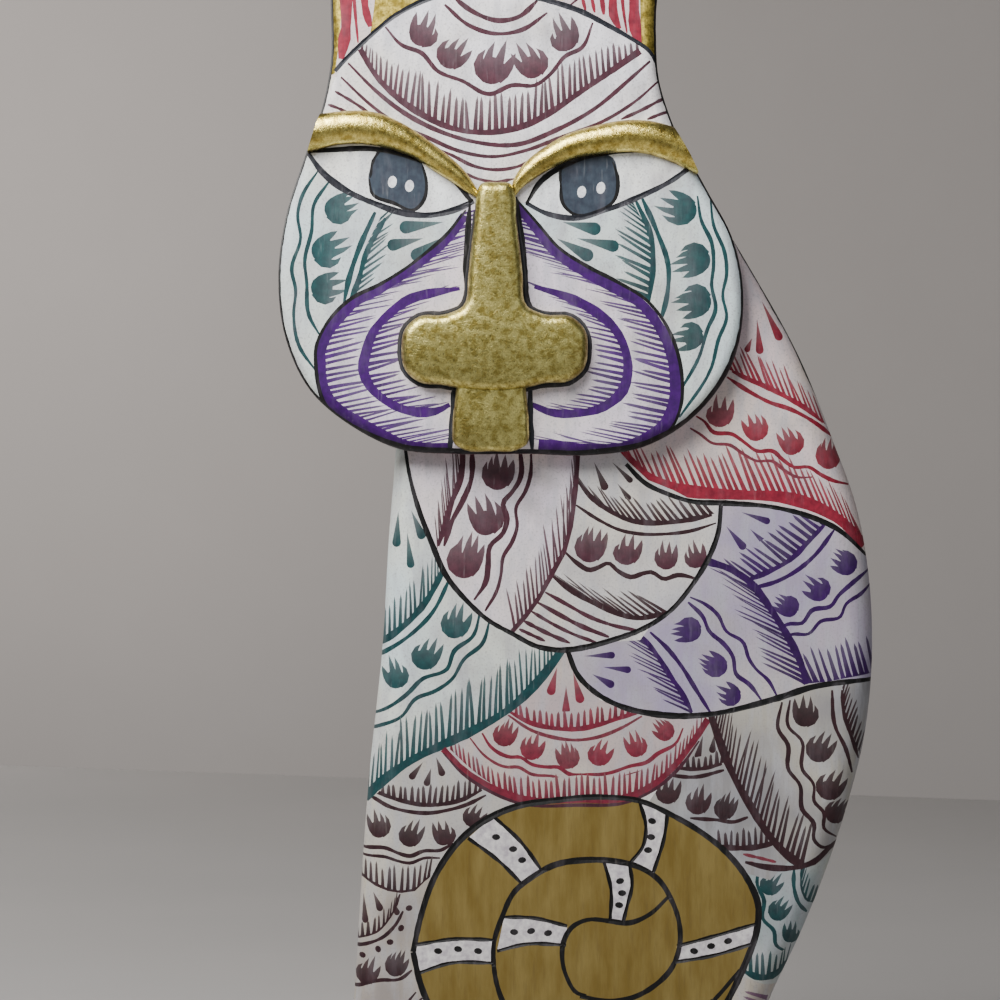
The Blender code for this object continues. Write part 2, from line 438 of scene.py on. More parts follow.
fanParts = {
    "from": 205, "to": 335,     # degrees, so that the scallop hangs down
    "edgeSteps": 25,
    "hatchGap": 2.7, "hatch": (0.17, 0.24, 0.17),       # shares of the reach, here and below
    "rim": 2.1,
    "waves": ((0.69, 1.1), (0.645, 0.8)), "swing": 0.018, "turnsAt": 0.66, "turnLength": 9,
    "buds": 0.52, "bud": 0.17,
    "lines": ((0.40, 1.2), (0.365, 1.3)),
    "innerAt": 0.36, "innerGap": 2.5, "inner": (0.09, 0.12, 0.09),
    "drops": ((-24, 0.17), (0, 0.21), (24, 0.17)), "dropFrom": 0.07, "dropWidth": 2.4,
}


def fan(sheet, x, z, reach, ink, petals):  # a plain scallop of the same family
    start, stop = fanParts["from"], fanParts["to"]
    leans = (start + 180, stop + 180)
    panel = newPanel(sheet, [(x, z)] + arc(x, z, reach, start, stop, fanParts["edgeSteps"]), grounds[ink])
    tines(panel, arc(x, z, reach - 1.2, start, stop), [reach * part for part in fanParts["hatch"]],
          fanParts["hatchGap"], leans, ink)
    line(panel, arc(x, z, reach - 0.8, start, stop), fanParts["rim"], ink, (1, 1))
    turns = max(3, round(math.radians(stop - start) * reach * fanParts["turnsAt"] / fanParts["turnLength"]))
    for part, width in fanParts["waves"]:
        line(panel, wave(x, z, reach * part, start, stop, reach * fanParts["swing"], turns), width, ink)
    for number in range(petals):
        lean = start + (stop - start) * (number + 0.5) / petals
        a = math.radians(lean)
        px, pz = x + math.cos(a) * reach * fanParts["buds"], z + math.sin(a) * reach * fanParts["buds"]
        bud(panel, px, pz, reach * fanParts["bud"], lean + 180, ink)
    for part, width in fanParts["lines"]:
        line(panel, arc(x, z, reach * part, start, stop), width, ink)
    tines(panel, arc(x, z, reach * fanParts["innerAt"], start, stop), [reach * part for part in fanParts["inner"]],
          fanParts["innerGap"], leans, ink)
    for swing, part in fanParts["drops"]:
        a = math.radians((start + stop) / 2 + swing)
        inner, outer = reach * fanParts["dropFrom"], reach * part
        drop(panel, (x + math.cos(a) * inner, z + math.sin(a) * inner),
             (x + math.cos(a) * outer, z + math.sin(a) * outer), fanParts["dropWidth"], ink)


def within(spots, outline):  # which points lie inside an outline
    found = np.zeros(len(spots), bool)
    for (ax, az), (bx, bz) in zip(outline, outline[1:] + outline[:1]):
        crosses = (az > spots[:, 1]) != (bz > spots[:, 1])
        if az != bz:
            found ^= crosses & (spots[:, 0] < (bx - ax) * (spots[:, 1] - az) / (bz - az) + ax)
    return found


cutting = {     # millimetres, unless a note says otherwise
    "rings": (0.18, 0.75, 1.9, 3.6, 6.0),       # depths of the lines that carry the rounding
    "ringKept": 0.985,      # share of its depth that a ring keeps where the outline turns
    "same": 1e-4,
    "leastArea": 1e-5,
    "onSide": 0.002,
    "besideCorner": 0.004,
    "panelInset": (0.03, 0.02),
    "strokeInset": (0.05, 0.04),
    "weld": 0.003,
    "chartGap": 3,
    "chartRun": 0.97,       # share of a strip of the chart that is filled
    "chartRoom": 1.01,
    "chartStrips": 4,
    "grooveFacet": 0.985,   # cosine from which a face keeps its own direction
}


def paintBoard(name, outline, closed, depths, rounding, sheets):
    # The front, the back and the edge are each cut along their brush strokes, bent to the carved
    # shape and closed to one another, so that every stroke is part of the surface
    front, back = depths
    ring = list(outline)
    area = sum(a[0] * b[1] - b[0] * a[1] for a, b in zip(ring, ring[1:] + ring[:1]))
    if area > 0:
        ring.reverse()          # clockwise from the front, so the edge runs left, over and down
    count = len(ring)
    spans = count if closed else count - 1
    starts = np.array([ring[n] for n in range(spans)])
    ends = np.array([ring[(n + 1) % count] for n in range(spans)])
    steps = ends - starts
    lengths = np.hypot(steps[:, 0], steps[:, 1])
    runs = np.concatenate([[0], np.cumsum(lengths)])
    outs = np.stack([-steps[:, 1], steps[:, 0]], 1) / lengths[:, None]
    corner = []
    for n in range(count):
        before, after = (n - 1) % spans if closed or n else 0, n if n < spans else spans - 1
        way = outs[before] + outs[after]
        corner.append(way / np.hypot(*way))
    corner = np.array(corner)

    def nearest(points):  # distance to the side of the outline, and the smoothed way out of it
        reach = np.full(len(points), 1e9)
        way = np.zeros((len(points), 2))
        for n in range(spans):
            offset = points - starts[n]
            t = np.clip(offset @ steps[n] / lengths[n] ** 2, 0, 1)
            gap = offset - t[:, None] * steps[n]
            distance = np.hypot(gap[:, 0], gap[:, 1])
            closer = distance < reach
            reach[closer] = distance[closer]
            blend = corner[n] * (1 - t[:, None]) + corner[(n + 1) % count] * t[:, None]
            way[closer] = blend[closer]
        return reach, way / np.maximum(np.hypot(way[:, 0], way[:, 1]), 1e-9)[:, None]

    vertices, triangles, facts = [], [], []     # millimetres; indices; one row of paint facts each
    normals, charts = [], []
    left, low = min(p[0] for p in ring), min(p[1] for p in ring)
    width, height = max(p[0] for p in ring) - left, max(p[1] for p in ring) - low
    chartGap = cutting["chartGap"]
    rims = {}

    def cut(edge, extra, sheet):  # triangles of a sheet, each with its topmost panel and stroke
        points, edges, faces, owners = [], [], [], []

        def add(polygon, owner):
            if len(polygon) == 4:       # short wide strokes can fold over, so their corners go round in order
                cx, cz = sum(p[0] for p in polygon) / 4, sum(p[1] for p in polygon) / 4
                polygon = sorted(polygon, key=lambda p: math.atan2(p[1] - cz, p[0] - cx))
            turn = sum(a[0] * b[1] - b[0] * a[1] for a, b in zip(polygon, polygon[1:] + polygon[:1]))
            if abs(turn) < cutting["leastArea"]:
                return
            if turn < 0:
                polygon = polygon[::-1]
            first = len(points)
            points.extend(polygon)
            faces.append(list(range(first, first + len(polygon))))
            owners.append(owner)

        add(edge, (-2, 0))
        covers = [(p, panel["edge"]) for p, panel in enumerate(sheet) if panel["edge"]]
        for row in extra:
            first = len(points)
            points.extend(row)
            edges.extend((first + n, first + n + 1) for n in range(len(row) - 1))
        for p, panel in enumerate(sheet):
            if panel["edge"]:
                add(panel["edge"], (-1, p))
            higher = [outline for q, outline in covers if q > p] if panel["edge"] else []
            for s, mark in enumerate(panel["strokes"]):
                spots = np.array([spot for polygon in mark["polygons"] for spot in polygon])
                if not within(spots, edge).any() or any(within(spots, outline).all() for outline in higher):
                    continue
                if panel["edge"] and not within(spots, panel["edge"]).any():
                    continue
                for polygon in mark["polygons"]:
                    add(polygon, (p, s))
        flat, _, parts, _, _, over = delaunay_2d_cdt(
            [Vector(p) for p in points], edges, faces, 1, cutting["same"], True)
        rows, found = [], []
        for part, cover in zip(parts, over):
            kinds = [owners[c] for c in cover]
            if (-2, 0) not in kinds:
                continue
            top = max((p for kind, p in kinds if kind == -1), default=-1)
            best = None
            for p, s in kinds:
                if p >= 0 and (p == top or not sheet[p]["edge"]) and (best is None or (p, s) > best):
                    best = (p, s)
            for n in range(1, len(part) - 1):
                rows.append((part[0], part[n], part[n + 1]))
                found.append((top, best))
        used = sorted({v for row in rows for v in row})
        place = {v: n for n, v in enumerate(used)}
        flat = np.array([flat[v] for v in used], dtype=float)
        return flat, [tuple(place[v] for v in row) for row in rows], found

    def rimOf(rows):  # the boundary loop of a cut sheet
        follow = {}
        seenEdges = set()
        for a, b, c in rows:
            seenEdges.update(((a, b), (b, c), (c, a)))
        for a, b in seenEdges:
            if (b, a) not in seenEdges:
                follow[a] = b
        loops = []
        while follow:
            start = next(iter(follow))
            loop, here = [], start
            while here in follow:
                loop.append(here)
                here = follow.pop(here)
            loops.append(loop)
        return max(loops, key=len)

    def keep(place, normal, rows, found, sheet, chart, flat):
        first = len(vertices)
        vertices.extend(place)
        for row, (top, best) in zip(rows, found):
            a, b, c = (Vector(place[v]) for v in row)
            if (b - a).cross(c - a).length < 1e-7:
                continue
            panel = sheet[top] if top >= 0 else {"ground": "white", "finish": "paint"}
            mark = sheet[best[0]]["strokes"][best[1]] if best else None
            triangles.append(tuple(first + v for v in row))
            cover = [0.0, 0.0, 0.0]
            if mark:
                cover = [1.0, 1.0, 1.0]
                if mark["fade"]:
                    sx, sz, ex, ez, amount, full = mark["fade"]
                    square = max((ex - sx) ** 2 + (ez - sz) ** 2, 1e-6)
                    for n, v in enumerate(row):
                        share = ((flat[v][0] - sx) * (ex - sx) + (flat[v][1] - sz) * (ez - sz)) / square
                        cover[n] = full * (1 - amount * min(max(share, 0), 1) ** 1.5)
            finish = mark["finish"] if mark else panel["finish"]
            ink, tone = (mark["ink"], mark["tone"]) if mark else (None, 1)
            facts.append((panel["ground"], ink, tone, cover, finish))
            normals.append([normal[v] for v in row])
            charts.append([chart(flat[v], row, flat) for v in row])

    for side, sheet, turned in (("front", sheets[0], 1), ("back", sheets[1], -1)):
        edge = [(x * turned, z) for x, z in ring]
        extra = []
        for depth in (*cutting["rings"], rounding):
            if depth > rounding:
                continue
            inner = np.array(ring) - corner * depth
            gaps, _ = nearest(inner)
            row = []
            for (x, z), gap in zip(inner, gaps):
                if gap > depth * cutting["ringKept"]:
                    row.append((x * turned, z))
                else:
                    extra += [row] if len(row) > 1 else []
                    row = []
            extra += [row] if len(row) > 1 else []
        flat, rows, found = cut(edge, extra, sheet)
        outer = flat * (turned, 1)
        gaps, way = nearest(outer)
        rise = np.clip((rounding - gaps) / rounding, 0, 1)
        level = rounding - np.sqrt(np.maximum(rounding ** 2 - (rise * rounding) ** 2, 0))
        loop = rimOf(rows)
        onRim = np.zeros(len(flat), bool)
        onRim[loop] = True
        # cut lines are pressed in along their middle
        dips = np.zeros(len(flat))
        uncut = np.zeros(len(flat), bool)
        owner = {}
        for row, (top, best) in zip(rows, found):
            mark = sheet[best[0]]["strokes"][best[1]] if best else None
            if mark and mark["spine"]:
                for v in row:
                    owner.setdefault(v, []).append(best)
            else:
                uncut[list(row)] = True
        groups = {}
        for v, marks in owner.items():
            if not uncut[v] and not onRim[v]:
                for best in set(marks):
                    groups.setdefault(best, []).append(v)
        for best, members in groups.items():
            spine, half = sheet[best[0]]["strokes"][best[1]]["spine"]
            spots = flat[members]
            reach = np.full(len(members), 1e9)
            for a, b in zip(np.array(spine), np.array(spine)[1:]):
                step = b - a
                t = np.clip((spots - a) @ step / max(step @ step, 1e-9), 0, 1)
                reach = np.minimum(reach, np.hypot(*(spots - a - t[:, None] * step).T))
            dips[members] = np.maximum(dips[members], cat["grooveDepth"] * np.clip(1 - reach / half, 0.0, 1))
        if side == "front":
            y, under, shift = front + level + dips, left, 0
        else:
            y, under, shift = back - level - dips, -(left + width), width + chartGap
        place = np.stack([outer[:, 0], y, outer[:, 1]], 1)
        tilt = np.sqrt(np.maximum(1 - rise ** 2, 0))
        normal = np.stack([way[:, 0] * rise, tilt * -turned, way[:, 1] * rise], 1)
        keep([tuple(p) for p in place], [tuple(n) for n in normal], rows, found, sheet,
             lambda spot, row, spots, under=under, shift=shift: (spot[0] - under + shift, spot[1] - low), flat)
        rims[side] = outer[loop]

    # the edge: its two long sides take exactly the points that the strokes made on the sheets' rims
    def runOf(points):
        at = []
        for spot in points:
            offset = spot - starts
            t = np.clip((offset * steps).sum(1) / lengths ** 2, 0, 1)
            gap = np.hypot(*(offset - t[:, None] * steps).T)
            n = int(gap.argmin())
            at.append((runs[n] + t[n] * lengths[n], gap[n]))
        return at

    total = float(runs[-1])
    sides, aside = {}, cutting["besideCorner"]
    for side in rims:
        values = sorted({round(run, 4) for run, gap in runOf(rims[side]) if gap < cutting["onSide"]})
        sides[side] = [0.0] + [v for v in values if aside < v < total - aside] + [total]
    nearY, farY = front + rounding, back - rounding
    edge = [(s, nearY) for s in sides["front"]] + [(s, farY) for s in reversed(sides["back"])]
    extra = [[(float(s), nearY), (float(s), farY)] for s in runs[1:-1]]

    def inset(polygon, gaps):
        along, over = gaps
        return [(min(max(s, along), total - along), min(max(y, nearY + over), farY - over)) for s, y in polygon]

    for panel in sheets[2]:
        for mark in panel["strokes"]:
            mark["polygons"] = [inset(polygon, cutting["strokeInset"]) for polygon in mark["polygons"]]
        panel["edge"] = inset(panel["edge"], cutting["panelInset"])
    flat, rows, found = cut(edge, extra, sheets[2])
    index = np.clip(np.searchsorted(runs, flat[:, 0], "right") - 1, 0, spans - 1)
    t = np.clip((flat[:, 0] - runs[index]) / lengths[index], 0, 1)[:, None]
    spots = starts[index] + steps[index] * t
    way = corner[index] * (1 - t) + corner[(index + 1) % count] * t
    way /= np.hypot(way[:, 0], way[:, 1])[:, None]
    place = np.stack([spots[:, 0], flat[:, 1], spots[:, 1]], 1)
    normal = np.stack([way[:, 0], np.zeros(len(way)), way[:, 1]], 1)
    strip, tall = 2 * width + chartGap, farY - nearY + chartGap
    strips = [int((runs[n] + lengths[n]) // (strip * cutting["chartRun"])) for n in range(spans)]

    def stripChart(spot, row, spots):  # whole spans go to one strip
        middle = sum(spots[v][0] for v in row) / 3
        number = strips[int(min(max(np.searchsorted(runs, middle, "right") - 1, 0), spans - 1))]
        return (spot[0] - runs[strips.index(number)], height + chartGap + number * tall + spot[1] - nearY)

    keep([tuple(p) for p in place], [tuple(n) for n in normal], rows, found, sheets[2], stripChart, flat)

    # close the seams
    tree = KDTree(len(vertices))
    for n, p in enumerate(vertices):
        tree.insert(p, n)
    tree.balance()
    same = list(range(len(vertices)))
    for n, p in enumerate(vertices):
        for _, other, _ in tree.find_range(p, cutting["weld"]):
            if other < same[n]:
                same[n] = same[other]
    kept, known = [], set()
    for n, row in enumerate(triangles):
        key = frozenset(same[v] for v in row)
        if len(key) == 3 and key not in known:
            known.add(key)
            kept.append(n)
    names = sorted({same[v] for n in kept for v in triangles[n]})
    number = {v: n for n, v in enumerate(names)}
    mesh = bpy.data.meshes.new(name)
    corners = [[number[same[v]] for v in triangles[n]] for n in kept]
    mesh.from_pydata([Vector(vertices[v]) * mm for v in names], [], corners)
    across = max(strip, height + chartGap + cutting["chartStrips"] * tall) * cutting["chartRoom"]
    shades = {key: np.array(linear(key) + [1.0]) for key in palette}
    loops = len(mesh.loops)
    inkRows, groundRows = np.ones((loops, 4)), np.ones((loops, 4))
    coverRows, giltRows, uvRows = np.zeros(loops), np.zeros(loops), np.zeros((loops, 2))
    facing = []
    for at, n in zip(range(0, loops, 3), kept):
        ground, ink, tone, cover, finish = facts[n]
        groundRows[at:at + 3] = shades[ground]
        inkRows[at:at + 3] = shades[ink] * (tone, tone, tone, 1) if ink else shades[ground]
        coverRows[at:at + 3] = cover
        giltRows[at:at + 3] = 1.0 if finish == "gilt" else 0.0
        uvRows[at:at + 3] = np.array(charts[n]) / across
        a, b, c = (Vector(vertices[v]) for v in triangles[n])
        true = (b - a).cross(c - a).normalized()
        for normal in normals[n]:       # grooves keep their own facets
            flatHere = abs(true.y) > 0.6 and abs(normal[1]) > 0.999
            own = flatHere and true.dot(Vector(normal)) < cutting["grooveFacet"]
            facing.append(true if own else normal)
    for label, rows in (("ink", inkRows), ("ground", groundRows)):
        mesh.attributes.new(label, "FLOAT_COLOR", "CORNER")
        mesh.attributes[label].data.foreach_set("color", rows.ravel())
    for label, rows in (("cover", coverRows), ("gilt", giltRows)):
        mesh.attributes.new(label, "FLOAT", "CORNER")
        mesh.attributes[label].data.foreach_set("value", rows)
    mesh.uv_layers.new(name="OFBake")
    mesh.uv_layers["OFBake"].data.foreach_set("uv", uvRows.ravel())
    mesh.polygons.foreach_set("use_smooth", [True] * len(mesh.polygons))
    mesh.update()
    if not closed:
        bm = bmesh.new()
        bm.from_mesh(mesh)
        bmesh.ops.holes_fill(bm, edges=[e for e in bm.edges if e.is_boundary], sides=0)
        bmesh.ops.triangulate(bm, faces=[f for f in bm.faces if len(f.verts) > 3])
        added = len(bm.faces) * 3 - len(facing)
        bm.to_mesh(mesh)
        bm.free()
        facing += [(0, 0, -1)] * added
    mesh.normals_split_custom_set(facing)
    piece = bpy.data.objects.new(name, mesh)
    bpy.context.collection.objects.link(piece)
    print(name, len(mesh.polygons), "triangles")
    return piece


bodyOutline = [
    (-57.6, 6.0), (-54.2, 56.1), (-49.5, 125.4), (-45.0, 169.5), (-43.2, 201.0),
    (-41.0, 229.3), (-39.4, 267.1), (-29.9, 303.3), (-1.6, 325.4), (36.2, 323.8),
    (55.1, 312.8), (63.9, 299.6), (72.8, 284.8), (86.9, 259.2), (97.7, 232.5),
    (105.2, 211.4), (109.0, 190.6), (110.2, 169.5), (108.0, 140.8), (100.5, 111.2),
    (87.9, 77.5), (77.8, 56.1), (67.0, 29.0), (58.6, 6.0)]

faceOutline = [
    (-8.5, 373.4), (-18.6, 374.2), (-28.2, 377.4), (-37.6, 386.0), (-50.0, 398.1),
    (-54.6, 400.0), (-59.2, 398.1), (-61.1, 393.5), (-61.1, 371.1), (-61.1, 350.3),
    (-63.3, 338.3), (-69.0, 321.9), (-75.3, 301.8), (-77.5, 282.2), (-75.0, 263.7),
    (-67.4, 247.9), (-54.2, 236.6), (-39.4, 229.6), (-22.1, 228.1), (0.6, 228.1),
    (20.8, 227.7), (37.2, 230.3), (51.0, 238.1), (64.9, 256.1), (68.4, 279.1),
    (64.9, 296.1), (57.0, 310.9), (46.6, 330.8), (41.9, 345.9), (41.0, 361.6),
    (41.0, 393.5), (39.1, 398.1), (34.5, 400.0), (29.9, 398.1), (19.6, 386.0),
    (11.2, 377.4), (1.6, 374.2)]

# The front of the body, from the lowest layer of paint up

# The lower and right panels take the darker grounds below, as painted shade
bodyFront = []
lower = newPanel(bodyFront, seen([(300, 860), (900, 860), (900, 1200), (300, 1200)]), "shadeWarm")
fill(lower, "brown", [
    ("line", 0.9, [(340, 1100), (368, 1092), (392, 1075), (415, 1050)]),
    ("tines", (5, 8, 5), 2.1, (88, 84), [(341, 1120), (372, 1112), (402, 1092), (430, 1066)]),
    ("line", 1.7, [(341, 1122), (372, 1114), (402, 1094), (430, 1066)]),
    ("buds", [
        (362, 1070, 26, 85), (392, 1048, 26, 85), (360, 1142, 22, 88), (396, 1132, 24, 86), (432, 1114, 24, 80)]),
    ("line", 0.9, [(345, 1030), (372, 1026), (398, 1012), (416, 992)]),
    ("line", 1.1, [(345, 1038), (374, 1033), (402, 1018), (422, 998)]),
    ("tines", (4, 7, 4), 2.1, (88, 84), [(352, 1014), (380, 1008), (402, 994), (414, 978)]),
    ("line", "plum", 1.4, [(700, 1150), (722, 1120), (738, 1084), (752, 1040), (764, 1000)]),
    ("tines", "plum", (8, 12, 8), 2.2, (150, 158), [
        (704, 1150), (726, 1120), (742, 1084), (756, 1040), (768, 1000)]),
    ("buds", "plum", [(700, 1104, 26, 150), (668, 1136, 24, 140)]),
])
tealFoot = newPanel(bodyFront, seen([
    (740, 860), (860, 830), (860, 900), (800, 985), (765, 985), (740, 975), (735, 900)]), "paintedShadeCool")
fill(tealFoot, "teal", [
    ("line", 1.1, [(759, 868), (757, 884), (764, 900), (763, 919), (774, 931), (776, 945), (788, 953)]),
    ("buds", [(771, 884, 24, 72), (779, 909, 25, 72), (792, 933, 22, 72)]),
    ("line", 1.1, [(794, 868), (794, 888), (800, 905), (808, 913)]),
    ("line", 1.1, [(803, 864), (802, 884), (808, 900), (816, 903)]),
    ("tines", (5, 6, 6), 2.0, (74, 70), [(803, 864), (802, 884), (808, 900), (820, 908)]),
    ("tines", (7, 8, 6), 1.9, (90, 82), [(745, 971), (763, 977), (778, 973), (788, 963)]),
    ("line", 1.9, [(745, 972), (763, 978), (778, 974), (790, 962)]),
])
footLeft = newPanel(bodyFront, seen([
    (300, 870), (362, 876), (388, 891), (415, 891), (440, 870), (440, 950), (412, 990), (408, 1000), (300, 1010)]),
    "shadeWarm")
fill(footLeft, "brown", [
    ("drops", [(363, 894, 365, 924, 7), (373, 892, 381, 911, 7), (352, 894, 350, 922, 6), (392, 900, 398, 915, 6)]),
    ("line", 1.0, [(345, 941), (358, 938), (375, 932), (388, 919), (396, 904), (400, 894)]),
    ("line", 1.0, [(345, 949), (367, 944), (383, 937), (396, 924), (403, 911)]),
    ("tines", (3, 5, 4), 1.9, (92, 84), [(345, 941), (358, 938), (375, 932), (388, 919), (396, 904)]),
    ("dots", [(350, 958, 3), (362, 956, 3), (378, 949, 3), (390, 942, 3), (401, 928, 3), (409, 908, 3)]),
    ("buds", [(367, 972, 27, 84), (396, 964, 26, 80)]),
    ("line", 1.0, [(348, 988), (355, 987), (380, 980), (400, 979), (412, 970)]),
])
brownLeft = newPanel(bodyFront, seen([
    (300, 780), (372, 798), (412, 760), (460, 735), (520, 800), (470, 835), (440, 870), (425, 881), (415, 891),
    (401, 893), (388, 891), (375, 886), (362, 878), (300, 872)]), "paintedShade")
fill(brownLeft, "brown", [
    ("drops", [(423, 762, 410, 779, 7), (431, 768, 426, 786, 7), (436, 757, 443, 776, 7)]),
    ("tines", (4, 6, 6), 1.9, (92, 84), [
        (366, 788), (388, 797), (403, 800), (425, 804), (444, 803), (461, 799), (480, 790)]),
    ("line", 1.2, [(364, 787), (376, 792), (403, 801), (425, 805), (444, 804), (461, 800), (482, 790)]),
    ("line", 1.1, [(362, 793), (375, 799), (388, 806), (406, 811), (428, 813), (448, 810), (468, 804), (486, 795)]),
    ("buds", [(379, 825, 27, 86), (411, 834, 27, 86), (444, 833, 26, 86), (474, 816, 24, 80)]),
    ("line", 1.1, [(355, 848), (366, 848), (386, 848), (398, 853), (410, 856), (423, 851), (441, 850), (453, 843)]),
    ("line", 0.9, [(355, 855), (368, 856), (386, 857), (398, 861), (410, 863), (424, 858), (440, 858)]),
    ("tines", (6, 8, 7), 2.0, (94, 84), [(355, 873), (375, 885), (388, 890), (401, 892), (415, 890), (428, 879)]),
    ("band", 1.8, [(352, 870), (362, 878), (375, 886), (388, 891), (401, 893), (415, 891), (428, 879)]),
])
brownMiddle = newPanel(bodyFront, seen([
    (640, 815), (709, 712), (725, 745), (751, 807), (768, 834), (790, 860), (770, 880), (700, 860)]), "shade")
fill(brownMiddle, "brown", [
    ("drops", [(703, 735, 697, 759, 7), (714, 735, 712, 753, 7)]),
    ("tines", (3, 4, 4), 1.9, (94, 88), [(676, 769), (699, 768), (722, 763)]),
    ("line", 1.1, [(676, 768), (699, 769), (722, 764)]),
    ("line", 1.1, [(668, 775), (695, 777), (724, 770)]),
    ("buds", [(668, 791, 27, 92), (698, 801, 28, 90), (725, 807, 26, 86)]),
    ("line", 1.1, [(690, 818), (703, 819), (719, 820), (733, 822), (748, 817)]),
    ("tines", (5, 6, 6), 1.9, (94, 86), [(720, 846), (735, 848), (757, 847), (772, 842)]),
    ("line", 1.6, [(716, 846), (735, 848), (757, 847), (776, 842)]),
    ("line", "rose", 0.9, [(743, 854), (760, 858), (776, 862)]),
    ("line", "rose", 0.9, [(748, 862), (764, 866), (780, 869)]),
])
brownRight = newPanel(bodyFront, seen([
    (709, 712), (713, 718), (721, 745), (733, 775), (751, 807), (768, 834), (786, 854), (802, 866), (815, 866),
    (845, 845), (900, 820), (900, 640), (700, 640)]), "shade")
fill(brownRight, "brown", [
    ("tines", (10, 17, 13), 2.1, (80, 74), [
        (714, 716), (721, 743), (733, 773), (751, 805), (768, 832), (786, 852), (802, 864)]),
    ("line", 1.2, [
        (782, 702), (778, 729), (788, 745), (788, 769), (800, 785), (802, 809), (814, 824), (814, 840), (824, 848),
        (836, 844)]),
    ("line", 1.0, [
        (790, 700), (788, 726), (802, 741), (802, 769), (814, 785), (814, 801), (824, 813), (824, 828),
        (838, 838)]),
    ("buds", [(806, 712, 31, 74), (820, 747, 32, 74), (831, 785, 32, 74), (838, 811, 28, 72)]),
    ("line", 1.1, [(832, 690), (835, 726), (846, 749), (853, 773)]),
    ("line", 1.1, [(842, 690), (844, 714), (851, 735), (860, 759)]),
    ("tines", (5, 7, 6), 2.1, (72, 68), [(843, 690), (846, 714), (853, 735), (862, 757)]),
])
redMiddle = newPanel(bodyFront, seen([
    (565, 648), (535, 680), (500, 715), (455, 740), (443, 749), (462, 768), (489, 787), (518, 800), (577, 802),
    (628, 799), (653, 787), (676, 766), (695, 741), (712, 716), (650, 715), (600, 700)]), "paintedShadePink")
fill(redMiddle, "wine", [
    ("drops", [(557, 667, 550, 695, 9), (573, 672, 581, 703, 9), (566, 686, 566, 714, 8)]),
    ("tines", (4, 6, 4), 2.0, (94, 86), [
        (505, 709), (531, 722), (552, 727), (577, 728), (598, 724), (619, 717), (640, 712)]),
    ("line", 1.3, [(505, 709), (531, 723), (552, 728), (577, 729), (598, 725), (619, 718), (640, 712)]),
    ("line", "rose", 1.0, [(508, 715), (531, 730), (552, 737), (577, 740), (598, 737), (619, 729), (642, 716)]),
    ("buds", [(505, 734, 26, 88), (532, 747, 27, 88), (600, 753, 27, 86), (636, 745, 25, 96), (664, 730, 23, 118)]),
    ("buds", "rose", [(568, 756, 27, 88)]),
    ("line", 1.1, [
        (482, 733), (491, 747), (510, 757), (520, 757), (531, 764), (548, 767), (558, 767), (569, 774), (588, 775),
        (609, 773), (630, 766), (647, 762), (657, 754), (676, 743), (683, 728)]),
    ("line", "rose", 0.9, [
        (470, 738), (485, 756), (506, 767), (518, 767), (531, 774), (556, 777), (569, 784), (588, 785), (609, 782),
        (632, 774), (650, 769), (664, 760)]),
    ("tines", (5, 8, 5), 1.9, (98, 84), [
        (452, 751), (470, 768), (492, 784), (520, 796), (577, 798), (628, 795), (653, 783), (676, 762),
        (700, 730)]),
])
purpleEnd = newPanel(bodyFront, seen([
    (640, 480), (690, 501), (725, 503), (773, 507), (809, 516), (836, 528), (865, 553), (920, 560), (920, 676),
    (876, 680), (844, 682), (806, 684), (700, 700), (650, 600)]), "paintedShadeLilac")
fill(purpleEnd, "violet", [
    ("drops", [(741, 512, 770, 522, 7), (726, 526, 745, 549, 8), (750, 529, 768, 546, 7)]),
    ("tines", (9, 12, 9), 2.1, (140, 146), [(742, 582), (770, 571), (791, 559), (808, 542), (825, 524)]),
    ("line", 1.4, [(742, 582), (770, 571), (791, 559), (808, 542), (825, 524)]),
    ("line", 1.2, [(752, 588), (775, 582), (796, 571), (815, 555), (834, 530)]),
    ("buds", [(845, 562, 28, 128), (817, 588, 28, 130), (787, 605, 26, 134)]),
    ("line", 1.2, [(780, 628), (788, 624), (802, 623), (812, 610), (831, 606), (838, 596), (850, 585), (872, 568)]),
    ("line", 1.0, [(784, 636), (794, 634), (808, 634), (821, 621), (840, 617), (846, 604), (861, 594), (874, 582)]),
    ("tines", (12, 12, 11), 2.1, (112, 104), [(803, 684), (830, 681), (852, 677), (882, 672)]),
])
purpleMiddle = newPanel(bodyFront, seen([
    (560, 645), (640, 640), (700, 560), (711, 562), (728, 568), (749, 581), (766, 602), (781, 625), (791, 642),
    (800, 661), (806, 684), (781, 699), (749, 708), (718, 715), (686, 718), (655, 716), (623, 709), (596, 695),
    (577, 676), (568, 655)]), "paintedShadeLilac")
fill(purpleMiddle, "violet", [
    ("tines", (13, 18, 14), 2.0, (148, 154), [
        (708, 563), (728, 569), (749, 582), (766, 603), (781, 626), (791, 643), (800, 662), (806, 684)]),
    ("drops", [(584, 656, 615, 655, 7), (603, 667, 631, 670, 7), (592, 674, 614, 686, 8)]),
    ("tines", (10, 15, 12), 2.0, (150, 156), [(640, 634), (657, 655), (669, 674), (680, 690), (692, 712)]),
    ("line", 1.4, [(640, 634), (657, 655), (669, 674), (680, 690), (692, 712)]),
    ("line", 1.2, [(650, 632), (667, 648), (682, 667), (695, 688), (710, 712)]),
    ("buds", [(687, 629, 30, 168), (714, 665, 28, 164), (729, 695, 25, 164)]),
    ("line", 1.2, [(688, 602), (703, 617), (709, 631), (724, 644), (733, 657), (736, 674), (749, 684), (762, 701)]),
    ("line", 1.0, [
        (690, 597), (705, 604), (718, 615), (726, 631), (743, 642), (749, 659), (756, 669), (768, 680),
        (777, 696)]),
])
tealSide = newPanel(bodyFront, seen([
    (300, 380), (400, 380), (600, 600), (562, 650), (541, 681), (511, 711), (474, 733), (442, 748), (412, 763),
    (375, 790), (366, 802), (300, 800)]), "cool")
